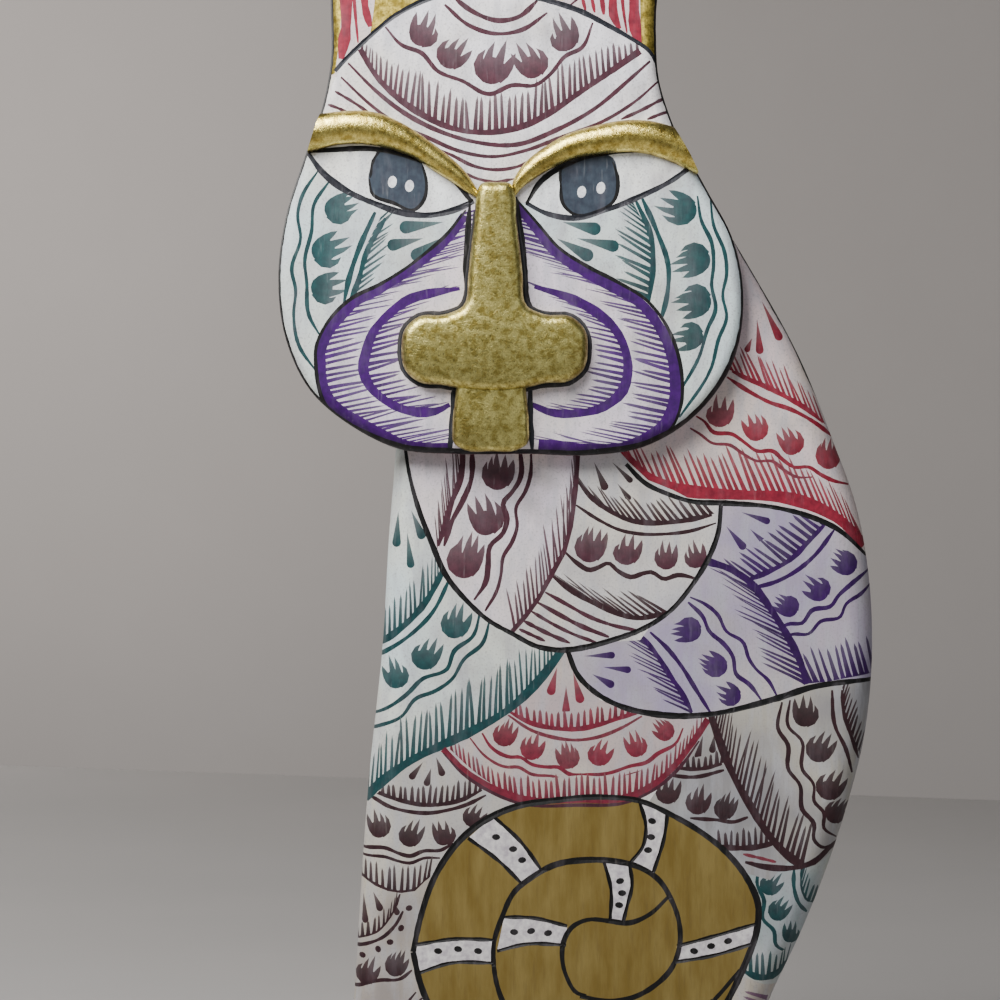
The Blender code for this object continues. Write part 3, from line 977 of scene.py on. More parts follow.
fill(tealSide, "teal", [
    ("drops", [(398, 511, 396, 547, 9), (411, 510, 423, 539, 9), (407, 532, 411, 568, 8)]),
    ("tines", (10, 13, 9), 2.1, (90, 88), [(444, 568), (427, 600), (410, 620), (392, 635), (372, 648)]),
    ("line", 1.8, [(444, 568), (427, 600), (410, 620), (392, 635), (372, 648)]),
    ("line", 1.2, [(450, 578), (432, 613), (410, 635), (384, 652), (368, 660)]),
    ("buds", [(455, 622, 34, 86), (426, 654, 33, 84), (396, 674, 30, 86)]),
    ("line", 1.2, [(480, 612), (473, 636), (454, 651), (447, 669), (422, 679), (407, 694), (385, 709), (366, 716)]),
    ("line", 1.1, [
        (490, 618), (482, 644), (464, 659), (452, 679), (435, 691), (415, 699), (402, 716), (376, 727),
        (362, 732)]),
    ("tines", (9, 16, 15, 12), 2.1, (92, 86), [
        (560, 652), (540, 678), (509, 708), (472, 730), (440, 745), (410, 760), (375, 786), (362, 800)]),
])
# Where a stroke runs along the edge of its panel, both take the same points
bibLeftSide = [(414, 494), (432, 544), (447, 577), (466, 600), (488, 620), (513, 634)]
bibSide = [
    *bibLeftSide, (536, 646), (562, 650), (586, 647), (612, 640), (640, 630), (670, 611), (692, 585), (709, 557),
    (718, 533)]
bibRight = newPanel(bodyFront, seen([(380, 400), (408, 456), *bibSide, (720, 505), (720, 440), (560, 400)]), "warm")
fill(bibRight, "brown", [
    ("drops", [(594, 462, 606, 490, 8), (612, 462, 632, 482, 6), (617, 483, 630, 500, 6)]),
    ("tines", (8, 11, 9, 8), 2.1, (124, 130), [
        (578, 482), (590, 496), (607, 509), (629, 519), (655, 522), (681, 520), (712, 514)]),
    ("line", 1.4, [(578, 482), (590, 496), (607, 509), (629, 520), (655, 523), (681, 521), (712, 515)]),
    ("line", 1.0, [(576, 505), (599, 520), (620, 530), (642, 534), (664, 534), (690, 531), (716, 523)]),
    ("buds", "burgundy", [(590, 545, 36, 96), (627, 550, 31, 98), (666, 556, 28, 108), (695, 556, 25, 120)]),
    ("line", 1.3, [
        (564, 551), (577, 563), (590, 570), (599, 567), (608, 563), (618, 571), (631, 577), (644, 573), (651, 572),
        (664, 579), (677, 575), (698, 579)]),
    ("tines", (12, 15, 12), 2.1, (142, 146), [
        (551, 574), (575, 592), (594, 602), (614, 611), (636, 617), (666, 613)]),
    ("line", 1.5, [(551, 575), (575, 593), (594, 603), (614, 612), (636, 618), (666, 613)]),
    ("line", "burgundy", 1.1, [(545, 592), (568, 605), (590, 617), (612, 625), (640, 631)]),
    ("line", "burgundy", 1.3, [(537, 602), (560, 615), (579, 625), (609, 637)]),
    ("line", "burgundy", 1.0, [(531, 611), (551, 623), (573, 634), (598, 643)]),
    ("line", "burgundy", 1.2, [(524, 621), (547, 633), (570, 643)]),
    ("line", "burgundy", 1.0, [(519, 629), (545, 641)]),
])
bibLeft = newPanel(bodyFront, seen([
    (380, 400), (405, 456), *bibLeftSide, (527, 618), (540, 600), (553, 577), (566, 553), (573, 527), (578, 490),
    (580, 456), (560, 400)]), "lilac")
fill(bibLeft, "burgundy", [
    ("tines", (13, 15, 12), 2.0, (91, 96), [(464, 450), (460, 480), (451, 504), (444, 528), (438, 546)]),
    ("line", 1.7, [(464, 448), (460, 480), (451, 504), (444, 528), (438, 546)]),
    ("line", 1.5, [(472, 448), (471, 480), (462, 502), (451, 523), (444, 546)]),
    ("buds", [(497, 472, 37, 100), (486, 516, 40, 94), (465, 558, 42, 92)]),
    ("line", 1.5, [
        (520, 448), (520, 479), (512, 492), (503, 503), (507, 518), (503, 533), (490, 546), (488, 566), (486, 581),
        (474, 600)]),
    ("line", 1.1, [
        (531, 448), (530, 477), (525, 492), (516, 507), (517, 527), (512, 542), (503, 557), (501, 574), (497, 590),
        (485, 611)]),
    ("tines", (11, 16, 13), 2.1, (91, 97), [
        (579, 448), (576, 490), (571, 527), (564, 553), (551, 577), (538, 600), (525, 618), (515, 632)]),
    ("band", 2.0, [(579, 448), (576, 490), (571, 527), (564, 553), (551, 577), (538, 600), (525, 618), (513, 632)]),
])
shoulder = newPanel(bodyFront, seen([
    (600, 430), (629, 462), (648, 480), (673, 490), (690, 499), (725, 501), (773, 505), (809, 514), (836, 526),
    (862, 548), (900, 560), (900, 150), (560, 150), (560, 400)]), "pink")
fill(shoulder, "red", [
    ("tines", (11, 16, 13), 2.2, (112, 112), [
        (612, 448), (648, 478), (673, 487), (706, 492), (744, 494), (782, 496), (817, 506), (840, 519),
        (866, 543)]),
    ("band", 3.6, [
        (612, 446), (629, 461), (648, 478), (673, 488), (706, 493), (744, 495), (782, 497), (817, 507), (840, 520),
        (866, 545)]),
    ("line", 1.1, [
        (696, 416), (704, 421), (713, 432), (732, 434), (744, 442), (757, 451), (773, 451), (782, 459), (794, 467),
        (809, 467), (820, 474), (832, 480), (850, 484)]),
    ("line", "rose", 0.9, [
        (690, 428), (700, 434), (712, 443), (730, 445), (742, 453), (757, 461), (772, 461), (784, 470), (797, 477),
        (812, 477)]),
    ("buds", "rose", [(720, 412, 31, 100)]),
    ("buds", [(756, 427, 29, 98), (791, 441, 29, 98), (829, 454, 31, 94)]),
    ("tines", (10, 13, 10), 2.1, (114, 110), [
        (732, 371), (748, 379), (769, 388), (788, 398), (807, 409), (824, 422)]),
    ("line", 1.4, [(732, 371), (748, 379), (769, 388), (788, 398), (807, 409), (824, 422)]),
    ("line", 1.2, [(727, 377), (750, 392), (769, 402), (790, 409), (813, 421), (836, 437)]),
    ("drops", [(762, 300, 781, 340, 9), (757, 319, 760, 354, 8), (752, 338, 746, 352, 6)]),
])
over = newPanel(bodyFront, None, None)
fill(over, "teal", [
    ("band", 2.7, [(562, 650), (541, 678), (509, 709), (472, 731), (440, 746), (410, 761), (375, 788),
    (364, 800)])])
fill(over, "violet", [
    ("band", 2.2, [(706, 561), (728, 568), (749, 581), (766, 602), (781, 625), (791, 642), (800, 661),
    (807, 684)])])
fill(over, "wine", [
    ("band", 2.0, [(443, 749), (462, 768), (489, 786), (518, 798), (577, 800), (628, 797), (653, 785), (676, 764),
    (695, 739), (708, 719)])])
fill(over, "burgundy", [
    ("line", 0.9, [(443, 753), (462, 773), (489, 791), (518, 803), (577, 805), (628, 802), (655, 789), (680, 767),
    (699, 741)])])
fill(over, "brown", [
    ("band", 2.4, [(711, 716), (721, 745), (733, 775), (751, 807), (768, 834), (786, 854), (804, 867)]),
    ("line", 1.6, [(745, 862), (766, 867), (798, 867), (814, 862), (830, 849), (846, 838)]),
])
fill(over, "black", [
    ("cut", 1.35, [(405, 448), (408, 468), *bibSide, (721, 503)]),
    ("cut", 1.3, [
        (626, 464), (645, 483), (668, 494), (690, 501), (725, 503), (773, 507), (809, 516), (836, 528),
        (868, 555)]),
    ("cut", 1.5, [
        (568, 652), (577, 674), (596, 693), (623, 707), (655, 714), (686, 716), (718, 713), (749, 706), (781, 697),
        (812, 687), (844, 682), (882, 679)]),
])

# The tail is coiled against the front, in matte gold with white bands
coil = [
    (413, 952), (420, 919), (437, 872), (460, 840), (482, 822), (514, 807), (557, 800), (606, 797), (644, 802),
    (666, 812), (698, 830), (726, 852), (748, 880), (758, 904), (757, 929), (745, 964), (728, 1000), (704, 1040),
    (672, 1076), (632, 1100), (588, 1111), (542, 1106), (500, 1086), (464, 1056), (438, 1022), (421, 986)]
tail = newPanel(bodyFront, smoothRow(seen(coil), 5, True), "tail", "gilt")
fill(tail, "black", [
    ("straps", [
        ([
            (468, 838), (499, 861), (524, 886)], [(493, 816), (521, 842), (542, 871)], [(496, 837), (513, 849),
            (522, 860)]),
        ([
            (639, 800), (646, 828), (643, 846), (630, 863)], [(668, 808), (664, 838), (653, 873)], [(652, 821),
            (651, 837), (648, 850)]),
        ([
            (604, 862), (611, 889), (610, 921)], [(629, 862), (632, 885), (627, 906), (623, 922)], [(620, 881),
            (622, 893), (619, 905)]),
        ([
            (504, 917), (534, 918), (567, 926)], [(497, 951), (526, 944), (566, 945)], [(514, 932), (531, 931),
            (548, 933)]),
        ([
            (415, 945), (454, 939), (494, 940)], [(416, 974), (450, 963), (494, 963)], [(438, 951), (458, 949),
            (478, 951)]),
        ([
            (677, 946), (711, 937), (759, 923)], [(675, 962), (711, 956), (758, 942)], [(694, 951), (711, 946),
            (728, 941)]),
        ([
            (568, 1050), (576, 1080), (572, 1114)], [(592, 1053), (602, 1080), (603, 1114)], [(582, 1066),
            (588, 1082), (588, 1098)]),
        ([
            (688, 1020), (706, 1038), (724, 1056)], [(710, 1000), (728, 1016), (746, 1030)], [(705, 1018),
            (717, 1028), (729, 1040)]),
        ([
            (560, 1006), (556, 1028), (548, 1052)], [(585, 1006), (582, 1030), (576, 1056)], [(571, 1018),
            (568, 1030), (564, 1042)]),
    ]),
    ("cut", 1.2, [
        (586, 996), (577, 993), (567, 978), (562, 957), (564, 940), (572, 927), (586, 920), (610, 921), (628, 923),
        (650, 914), (668, 897)]),
    ("cut", 1.4, [
        (580, 996), (606, 1001), (634, 997), (654, 986), (671, 969), (679, 949), (679, 922), (671, 899), (659, 880),
        (639, 867), (614, 861), (584, 860), (554, 865), (532, 877), (514, 892), (502, 917), (494, 942), (494, 969),
        (502, 1000), (520, 1028), (550, 1048), (590, 1056), (635, 1050), (680, 1030), (714, 1000), (740, 970)]),
])
ring = newPanel(bodyFront, None, None)
line(ring, [p for p in smoothRow(bodyOutline, 4) if p[0] > 64 and p[1] > 240], 1.4, "black", (0.4, 0.4), False, 1)
line(ring, smoothRow(seen(coil + coil[:1]), 5), 1.9, "black", (1, 1), True, 1)

# The face plate: cheeks, forehead, ears, eyes, and the muzzle over them

faceFront = []
cheekLeft = newPanel(faceFront, seen([
    (250, 150), (308, 155), (324, 175), (377, 206), (431, 217), (494, 205), (494, 470), (250, 470)]), "cool")
fill(cheekLeft, "teal", [
    ("line", 1.1, [(330, 184), (315, 207), (313, 232), (306, 263), (308, 283), (310, 316), (322, 338)]),
    ("line", 1.0, [
        (320, 172), (303, 199), (299, 216), (302, 240), (293, 271), (297, 291), (295, 316), (300, 346),
        (318, 373)]),
    ("buds", [(342, 211, 34, 6), (331, 252, 38, 4), (329, 290, 35, 0)]),
    ("tines", (7, 12, 8), 2.2, (40, 32), [(380, 222), (364, 255), (357, 283), (350, 302)]),
    ("line", 1.5, [(376, 214), (360, 250), (350, 280), (345, 304)]),
    ("line", 1.5, [(386, 220), (367, 255), (359, 283), (350, 305)]),
    ("drops", [(444, 224, 400, 230, 13), (424, 240, 388, 248, 12), (446, 238, 412, 260, 13)]),
])
cheekRight = newPanel(faceFront, seen([
    (494, 205), (527, 205), (575, 220), (640, 198), (690, 168), (700, 150), (780, 150), (780, 470), (494, 470)]),
    "cool")
fill(cheekRight, "teal", [
    ("line", 1.1, [
        (696, 198), (700, 223), (710, 244), (712, 267), (710, 286), (714, 311), (706, 330), (698, 357),
        (680, 390)]),
    ("line", 1.0, [
        (709, 196), (712, 227), (723, 254), (725, 276), (721, 296), (725, 319), (717, 340), (710, 368),
        (678, 418)]),
    ("buds", [(677, 211, 38, 176), (691, 261, 37, 176), (692, 302, 37, 178), (687, 337, 31, 172)]),
    ("tines", (8, 13, 9), 2.2, (140, 158), [(633, 206), (648, 238), (651, 267), (646, 306)]),
    ("line", 1.5, [(635, 203), (650, 238), (652, 267), (647, 306)]),
    ("line", 1.4, [(640, 198), (656, 234), (667, 267), (666, 296), (659, 324)]),
    ("drops", [(562, 224, 600, 232, 13), (576, 240, 618, 249, 12), (556, 240, 592, 260, 13)]),
])
hairline = [
    (343, 66), (369, 41), (394, 20), (422, 5), (443, -2), (482, -6), (519, -2), (555, 6), (581, 15), (606, 28),
    (629, 41)]
# The forehead's lighter ground is a painted highlight
forehead = newPanel(faceFront, seen([*hairline, (652, 58), (675, 110), (694, 170), (640, 160), (560, 165),
    (520, 200), (494, 205), (472, 200), (440, 165), (370, 150), (308, 158), (318, 120)]), "pale")
fill(forehead, "burgundy", [
    ("tines", (4, 12, 12, 13, 12, 4), 2.15, (84, 96), [
        (363, 55), (377, 79), (400, 102), (422, 117), (453, 131), (489, 135), (525, 128), (555, 112), (581, 94),
        (606, 77), (637, 56)]),
    ("band", 1.9, [
        (361, 52), (377, 79), (400, 102), (422, 117), (453, 131), (489, 135), (525, 128), (555, 112), (581, 94),
        (606, 77), (639, 54)]),
    ("line", 1.2, [
        (386, 30), (402, 48), (422, 56), (438, 74), (463, 84), (489, 97), (512, 88), (535, 88), (550, 77),
        (565, 59), (581, 51), (592, 26)]),
    ("buds", [(425, 34, 34, 62), (453, 56, 34, 70), (493, 66, 44, 90), (531, 64, 36, 104), (563, 38, 34, 126)]),
    ("line", 1.4, [(453, 0), (473, 15), (499, 24), (519, 20), (537, 4)]),
    ("line", 1.2, [(445, 8), (468, 28), (496, 37), (522, 33), (547, 16)]),
    ("line", 1.3, [
        (349, 66), (377, 94), (407, 117), (443, 135), (473, 144), (517, 147), (555, 133), (593, 112), (629, 82),
        (649, 64)]),
    ("line", 1.1, [
        (342, 80), (372, 108), (400, 128), (428, 140), (458, 153), (494, 159), (525, 153), (555, 142), (606, 122),
        (637, 102), (659, 82)]),
    ("line", 1.0, [(440, 152), (453, 158), (473, 168), (494, 172), (517, 169), (536, 160)]),
    ("line", 0.9, [(462, 174), (478, 181), (494, 184), (514, 181)]),
    ("line", 0.9, [(336, 94), (356, 106), (372, 117)]), ("line", 0.9, [(329, 107), (344, 113), (358, 121)]),
    ("line", 1.0, [(620, 122), (642, 112), (664, 100)]), ("line", 0.9, [(646, 122), (656, 118), (669, 113)]),
])
ears = newPanel(faceFront, seen([
    (320, -120), (680, -120), (680, 64), (652, 58), (629, 41), (606, 28), (581, 15), (555, 6), (519, 0), (482, -4),
    (443, 0), (422, 5), (394, 20), (369, 41), (343, 66), (338, 80), (320, 80)]), "pink")
fill(ears, "gold", [
    ("shape", [(300, -110), (343, -70), (343, 0), (341, 40), (336, 76), (300, 90)]),
    ("shape", [(380, -34), (420, -60), (470, 0), (400, 20), (371, 38), (374, 18)]),
    ("shape", [(639, -80), (700, -90), (700, 80), (650, 60), (640, 46), (639, 0)]),
    ("shape", [(560, -30), (598, -60), (597, -12), (562, 4), (530, -2)]),
])
fill(ears, "red", [
    ("line", 3.2, [(348, -74), (347, 0), (347, 30), (342, 62)]),
    ("line", 2.2, [(366, -60), (365, -10), (366, 10), (371, 30)]),
    ("line", 0.9, [(355, -60), (355, 0), (359, 46)]),
    ("line", 3.0, [(633, -74), (633, 0), (634, 30), (639, 52)]),
    ("line", 2.4, [(612, -56), (612, 0), (613, 20), (619, 32)]),
    ("line", 0.9, [(622, -64), (622, 10), (626, 36)]),
    ("line", 1.4, [(601, -54), (601, 0), (603, 18)]),
    ("line", 1.0, [(591, -30), (591, 0), (594, 16)]),
    ("line", 1.0, [(581, -16), (582, 2), (585, 14)]),
])
fill(ears, "burgundy", [
    ("line", 0.8, [(534, 1), (556, -14), (580, -34), (604, -60)]),
    ("line", 0.8, [(548, 4), (570, -10), (592, -30), (612, -56)]),
    ("line", 0.8, [(568, 10), (584, -4), (600, -24), (616, -50)]),
    ("line", 0.8, [(448, -2), (426, -14), (404, -34), (384, -56)]),
])
eyeLeft = newPanel(faceFront, seen([
    (308, 155), (330, 148), (370, 146), (408, 153), (444, 168), (473, 202), (462, 208), (431, 216), (404, 214),
    (377, 205), (346, 191), (324, 174)]), "spot")
fill(eyeLeft, "iris", [
    ("area", [(380, 150), (402, 150), (424, 168), (427, 184), (424, 204), (415, 213), (394, 206), (373, 197),
    (369, 181), (374, 163)])])
fill(eyeLeft, "black", [
    ("line", 1.0, [(370, 181), (373, 196), (394, 205), (415, 212), (424, 203), (427, 184), (423, 168)]),
    ("line", 0.8, [(371, 180), (374, 163), (381, 152)])])
fill(eyeLeft, "spot", [("eggs", [(393, 184, 4.4, 6), (410, 188, 4.4, 6)])])
eyeRight = newPanel(faceFront, seen([
    (527, 205), (540, 180), (575, 160), (620, 150), (660, 152), (692, 168), (670, 182), (640, 197), (605, 211),
    (575, 219), (545, 214)]), "spot")
fill(eyeRight, "iris", [
    ("area", [(562, 160), (590, 156), (612, 160), (617, 180), (614, 204), (598, 214), (575, 218), (563, 208),
    (559, 186)])])
fill(eyeRight, "black", [
    ("line", 1.0, [(560, 184), (563, 207), (575, 217), (598, 213), (613, 203), (617, 181), (612, 164)]),
    ("line", 0.8, [(560, 186), (560, 172), (564, 160)])])
fill(eyeRight, "spot", [("eggs", [(581, 194, 4.4, 6), (600, 190, 4.4, 6)])])
leftRim = [
    (444, 239), (428, 253), (403, 272), (378, 287), (355, 298), (338, 312), (324, 331), (317, 349), (317, 366),
    (319, 384), (326, 405), (339, 418), (360, 430)]
muzzleLeft = newPanel(faceFront, seen([
    (466, 208), *leftRim, (384, 442), (401, 447), (426, 450), (494, 452), (494, 205)]), "lilac")
fill(muzzleLeft, "purple", [
    ("tines", (10, 21, 17, 14, 16, 22), 1.9, (16, 12), [
        (463, 216), (442, 241), (426, 256), (401, 275), (376, 290), (353, 301), (338, 316), (326, 333), (320, 349),
        (320, 366), (321, 382), (328, 402), (340, 414), (360, 427), (384, 440), (410, 447)]),
    ("tines", (12, 12, 12, 12), 1.9, (20, 8), [
        (425, 297), (409, 302), (389, 317), (374, 334), (367, 353), (365, 371), (370, 386), (383, 399), (401, 408),
        (420, 411)]),
    ("band", 3.6, [
        (463, 216), (444, 242), (428, 257), (403, 276), (378, 291), (355, 302), (340, 317), (328, 334), (322, 350),
        (322, 366), (323, 381), (330, 400), (342, 412), (362, 425), (386, 438), (403, 445), (426, 448),
        (452, 448)]),
    ("line", 2.6, [
        (460, 290), (434, 294), (409, 301), (389, 316), (374, 333), (367, 353), (364, 371), (370, 386), (383, 399),
        (401, 409), (422, 413), (439, 411), (450, 405)]),
])
rightRim = [
    (516, 201), (538, 226), (558, 249), (587, 268), (616, 283), (646, 302), (666, 328), (677, 356), (681, 382),
    (679, 409), (669, 430), (650, 442)]
muzzleRight = newPanel(faceFront, seen([
    (512, 198), *rightRim, (623, 450), (595, 452), (494, 456), (494, 200)]), "lilac")
fill(muzzleRight, "purple", [
    ("tines", (10, 21, 17, 14, 16, 22), 1.9, (164, 170), [
        (518, 208), (537, 229), (556, 252), (585, 271), (614, 286), (643, 305), (662, 330), (673, 357), (677, 382),
        (675, 407), (667, 426), (648, 439), (623, 448), (595, 450)]),
    ("tines", (12, 12, 12, 12), 1.9, (160, 172), [
        (548, 291), (566, 298), (595, 313), (614, 330), (625, 353), (627, 372), (622, 391), (604, 407),
        (580, 413)]),
    ("band", 3.6, [
        (517, 206), (536, 230), (555, 253), (584, 272), (613, 288), (642, 307), (660, 331), (671, 357), (675, 382),
        (673, 405), (665, 424), (647, 437), (623, 447), (595, 450), (566, 448), (538, 446)]),
    ("line", 2.6, [
        (534, 288), (566, 298), (595, 313), (614, 330), (625, 353), (627, 372), (622, 391), (604, 407), (576, 414),
        (547, 412), (532, 405)]),
])
lines = newPanel(faceFront, None, None)
fill(lines, "slate", [
    ("cut", 1.6, [(309, 155), (324, 175), (346, 192), (377, 206), (404, 215), (431, 217), (462, 209), (474, 203)]),
    ("cut", 1.4, [(526, 205), (545, 215), (575, 220), (605, 212), (640, 198), (670, 183), (692, 167)]),
    ("cut", 1.3, [(336, 74), *hairline, (650, 56), (656, 66)]),
])
fill(lines, "black", [
    ("cut", 1.3, [(306, 154), (338, 152), (370, 151), (408, 158), (444, 173), (472, 204)]),
    ("cut", 1.3, [(526, 206), (540, 184), (575, 163), (620, 153), (660, 155), (694, 168)]),
    ("line", 1.0, [(466, 212), *leftRim]),
    ("line", 1.0, rightRim),
    ("line", 1.6, [(470, 206), (466, 260), (462, 310), (452, 318)]),
    ("line", 1.6, [(516, 200), (524, 260), (532, 312), (540, 320)]),
    ("line", "slate", 1.5, [(455, 384), (453, 410), (450, 452)]),
    ("line", "slate", 1.5, [(530, 384), (530, 410), (532, 452)]),
])
around = smoothRow(faceOutline, 4, True)
line(lines, around + around[:1], 1.7, "black", (1, 1), False, 1)
# The wider black band along the face's lower rim is partly its painted outline and partly painted shadow where the
# face stands over the body
line(lines, around[15 * 4 + 2:24 * 4], 3.2, "black", (0.3, 0.3), False, 1)

# The nose, the mouth and the brows, as the source carves them

noseOutline = [
    (-13.9, 312.2), (-9.2, 312.8), (-4.5, 312.2), (-3.1, 308.4), (-2.8, 302.5), (-1.4, 290.0),
    (-0.8, 284.0), (0.6, 274.1), (6.3, 271.5), (14.2, 270.9), (18.6, 266.8), (19.5, 260.8), (18.3, 254.5),
        (13.5, 250.7),
    (6.3, 250.1), (-1.6, 248.2), (-10.4, 247.6), (-18.9, 248.2), (-25.8, 249.5), (-33.1, 250.4),
    (-37.5, 254.2), (-38.7, 260.8), (-37.5, 267.1), (-33.1, 270.9), (-25.2, 271.5), (-19.5, 274.1),
    (-17.8, 284.0), (-17.2, 290.0), (-15.8, 302.5), (-15.3, 308.4)]
around = smoothRow(noseOutline, 4, True)
around = [p for p in around[12:] if p[1] < 304 or p[0] > -8]
# The wide grey band around the raised nose is painted shade, and the thin slate line over it is the painted outline
line(lines, around, 2.5, "smoke", (0.4, 0.4), False, 1)
line(lines, around, 1.2, "slate", (0.4, 0.4), False, 1)

brows = {
    "leftBrow": [
        (-76.0, 325.3, 5.0), (-66.0, 328.4, 5.4), (-58.0, 329.9, 5.2), (-48.2, 329.8, 5.2), (-39.4, 327.0, 4.4),
        (-32.8, 323.5, 3.6), (-26.5, 319.1, 3.3), (-21.1, 315.0, 2.7), (-17.0, 310.9, 1.7), (-14.8, 308.7, 0.8)],
    "rightBrow": [
        (-3.8, 309.0, 0.8), (-2.2, 312.5, 1.9), (1.9, 316.9, 3.0), (8.5, 321.3, 3.6), (15.1, 324.4, 4.1),
        (23.0, 326.2, 4.6), (30.6, 327.3, 5.0), (38.4, 327.0, 5.2), (45.5, 325.0, 5.2), (56.0, 320.0, 5.0)],
}
goldLeaf = {
    "raise": 5.5, "bulge": 0.7, "sides": 14, "steps": 5, "behind": 4.0,
    "trims": {
        "leftBrow": [((-70.0, 316.5), (-67.6, 323.8)), ((-67.6, 323.8), (-62.8, 338.3))],
        "rightBrow": [((46.0, 330.8), (51.3, 321.5)), ((51.3, 321.5), (56.3, 311.5))],
    },
}


def browPiece(name, rows):  # a half-round ridge, lofted ring by ring and thinning towards the nose
    path = smoothRow(rows, goldLeaf["steps"])
    widest = max(half for _, _, half in rows)
    bm = bmesh.new()
    rings = []
    for place, (x, z, half) in enumerate(path):
        px, pz, _ = path[max(place - 1, 0)]
        nx, nz, _ = path[min(place + 1, len(path) - 1)]
        turn = math.atan2(nz - pz, nx - px) + math.pi / 2
        top = goldLeaf["raise"] * math.sqrt(half / widest)
        section = []
        for step in range(goldLeaf["sides"] + 1):
            a = math.pi * step / goldLeaf["sides"]
            section.append((math.cos(a) * half, cat["faceFront"] - top * math.sin(a) ** goldLeaf["bulge"]))
        section += [(half * side, cat["faceFront"] + goldLeaf["behind"]) for side in (-1, 1)]
        ring = [bm.verts.new(Vector((x + math.cos(turn) * out, y, z + math.sin(turn) * out)) * mm)
                for out, y in section]
        rings.append([bm.edges.new((a, b)) for a, b in zip(ring, ring[1:] + ring[:1])])
    bmesh.ops.bridge_loops(bm, edges=[e for ring in rings for e in ring])
    bmesh.ops.holes_fill(bm, edges=bm.edges[:], sides=0)
    bmesh.ops.recalc_face_normals(bm, faces=bm.faces[:])
    # the outer end follows the edge of the face
    for (ax, az), (bx, bz) in goldLeaf["trims"][name]:
        way = Vector((az - bz, 0, bx - ax)).normalized()
        made = bmesh.ops.bisect_plane(
            bm, geom=bm.verts[:] + bm.edges[:] + bm.faces[:], plane_co=Vector((ax, 0, az)) * mm, plane_no=way,
            clear_outer=True)
        bmesh.ops.holes_fill(bm, edges=[e for e in made["geom_cut"] if isinstance(e, bmesh.types.BMEdge)], sides=0)
    bmesh.ops.triangulate(bm, faces=[f for f in bm.faces if len(f.verts) > 4])
    return bm


def pieceFrom(name, bm, material):
    mesh = bpy.data.meshes.new(name)
    bm.to_mesh(mesh)
    bm.free()
    piece = bpy.data.objects.new(name, mesh)
    bpy.context.collection.objects.link(piece)
    mesh.polygons.foreach_set("use_smooth", [True] * len(mesh.polygons))
    mesh.set_sharp_from_angle(angle=math.radians(cat["sharpFrom"]))
    mesh.materials.append(material)
    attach(piece, "root")
    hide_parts("cat_figurine")
    print(name, len(mesh.polygons), "faces")
    return piece


def raisedPiece(outline, sizes):  # a flat shape with a rounded front rim
    bm = bmesh.new()
    front, behind = cat["faceFront"] - sizes["raise"], cat["faceFront"] + sizes["behind"]
    face = bm.faces.new([bm.verts.new(Vector((x, behind, z)) * mm) for x, z in outline])
    bmesh.ops.recalc_face_normals(bm, faces=[face])
    made = bmesh.ops.extrude_face_region(bm, geom=[face])
    moved = [v for v in made["geom"] if isinstance(v, bmesh.types.BMVert)]
    bmesh.ops.translate(bm, verts=moved, vec=Vector((0, front - behind, 0)) * mm)
    rim = [e for e in bm.edges if all(v in moved for v in e.verts)]
    bmesh.ops.recalc_face_normals(bm, faces=bm.faces[:])
    bmesh.ops.bevel(bm, geom=rim, offset=sizes["rounding"] * mm, segments=sizes["segments"], profile=0.5,
                    affect="EDGES", material=-1)
    bmesh.ops.triangulate(bm, faces=[f for f in bm.faces if len(f.verts) > 4])
    return bm


# The back and the edges are not in the photograph: plainer scallops and bands of the same family

inks = ("brown", "teal", "burgundy", "purple", "red")
grounds = {"brown": "warm", "teal": "cool", "burgundy": "lilac", "purple": "lilac", "red": "pink"}
bodyFans = {
    "left": -140, "low": 70, "gap": 78.0, "rise": 62.0, "reach": 76.0, "rows": 6, "columns": 4, "skip": 3,
    "petals": 5}
faceFans = {
    "left": -116, "low": 288, "gap": 56, "rise": 48, "reach": 56, "rows": 4, "columns": 5, "skip": 1, "petals": 4}
bodyBack, faceBack = [], []
for sheet, fans in ((bodyBack, bodyFans), (faceBack, faceFans)):
    for row in range(fans["rows"]):
        for column in range(fans["columns"]):
            x = fans["left"] + (column + (row % 2) * 0.5) * fans["gap"]
            ink = inks[(column * 2 + row * fans["skip"]) % len(inks)]
            fan(sheet, x, fans["low"] + row * fans["rise"], fans["reach"], ink, fans["petals"])

bandParts = {
    "span": 62, "hatch": (5, 7, 5), "hatchGap": 2.3,
    "wave": 1.0, "waveAt": 8.6, "swing": 0.7, "waveSteps": 16,
    "buds": 4, "bud": 8.5, "divider": 1.8,
}


def edgeBand(sheet, total, near, far):  # buds between two waves, hatched in from both rims
    count = max(2, round(total / bandParts["span"]))
    for number in range(count):
        start, stop = total * number / count, total * (number + 1) / count
        ink = inks[number % len(inks)]
        panel = newPanel(sheet, [(start, near), (stop, near), (stop, far), (start, far)], grounds[ink])
        middle = (near + far) / 2
        for side, toward in ((near, 1), (far, -1)):
            tines(panel, [(start, side), (stop, side)], bandParts["hatch"], bandParts["hatchGap"],
                  (90 * toward, 90 * toward), ink, smooth=1)
            row = []
            for n in range(bandParts["waveSteps"] + 1):
                swing = bandParts["swing"] * (0, 1, 0, -1)[n % 4]
                along = start + (stop - start) * n / bandParts["waveSteps"]
                row.append((along, side + toward * (bandParts["waveAt"] + swing)))
            line(panel, row, bandParts["wave"], ink)
        for n in range(bandParts["buds"]):
            bud(panel, start + (stop - start) * (n + 0.5) / bandParts["buds"], middle, bandParts["bud"], 0, ink)
        divider = [(start + 1, near + 1), (start + 2, middle), (start + 1, far - 1)]
        line(panel, divider, bandParts["divider"], ink)


# Materials

def valueOf(tree, kind, settings=(), inputs=()):
    node = tree.nodes.new(kind)
    for key, value in dict(settings).items():
        setattr(node, key, value)
    for key, value in dict(inputs).items():
        if isinstance(value, bpy.types.NodeSocket):
            tree.links.new(value, node.inputs[key])
        else:
            node.inputs[key].default_value = value
    return node


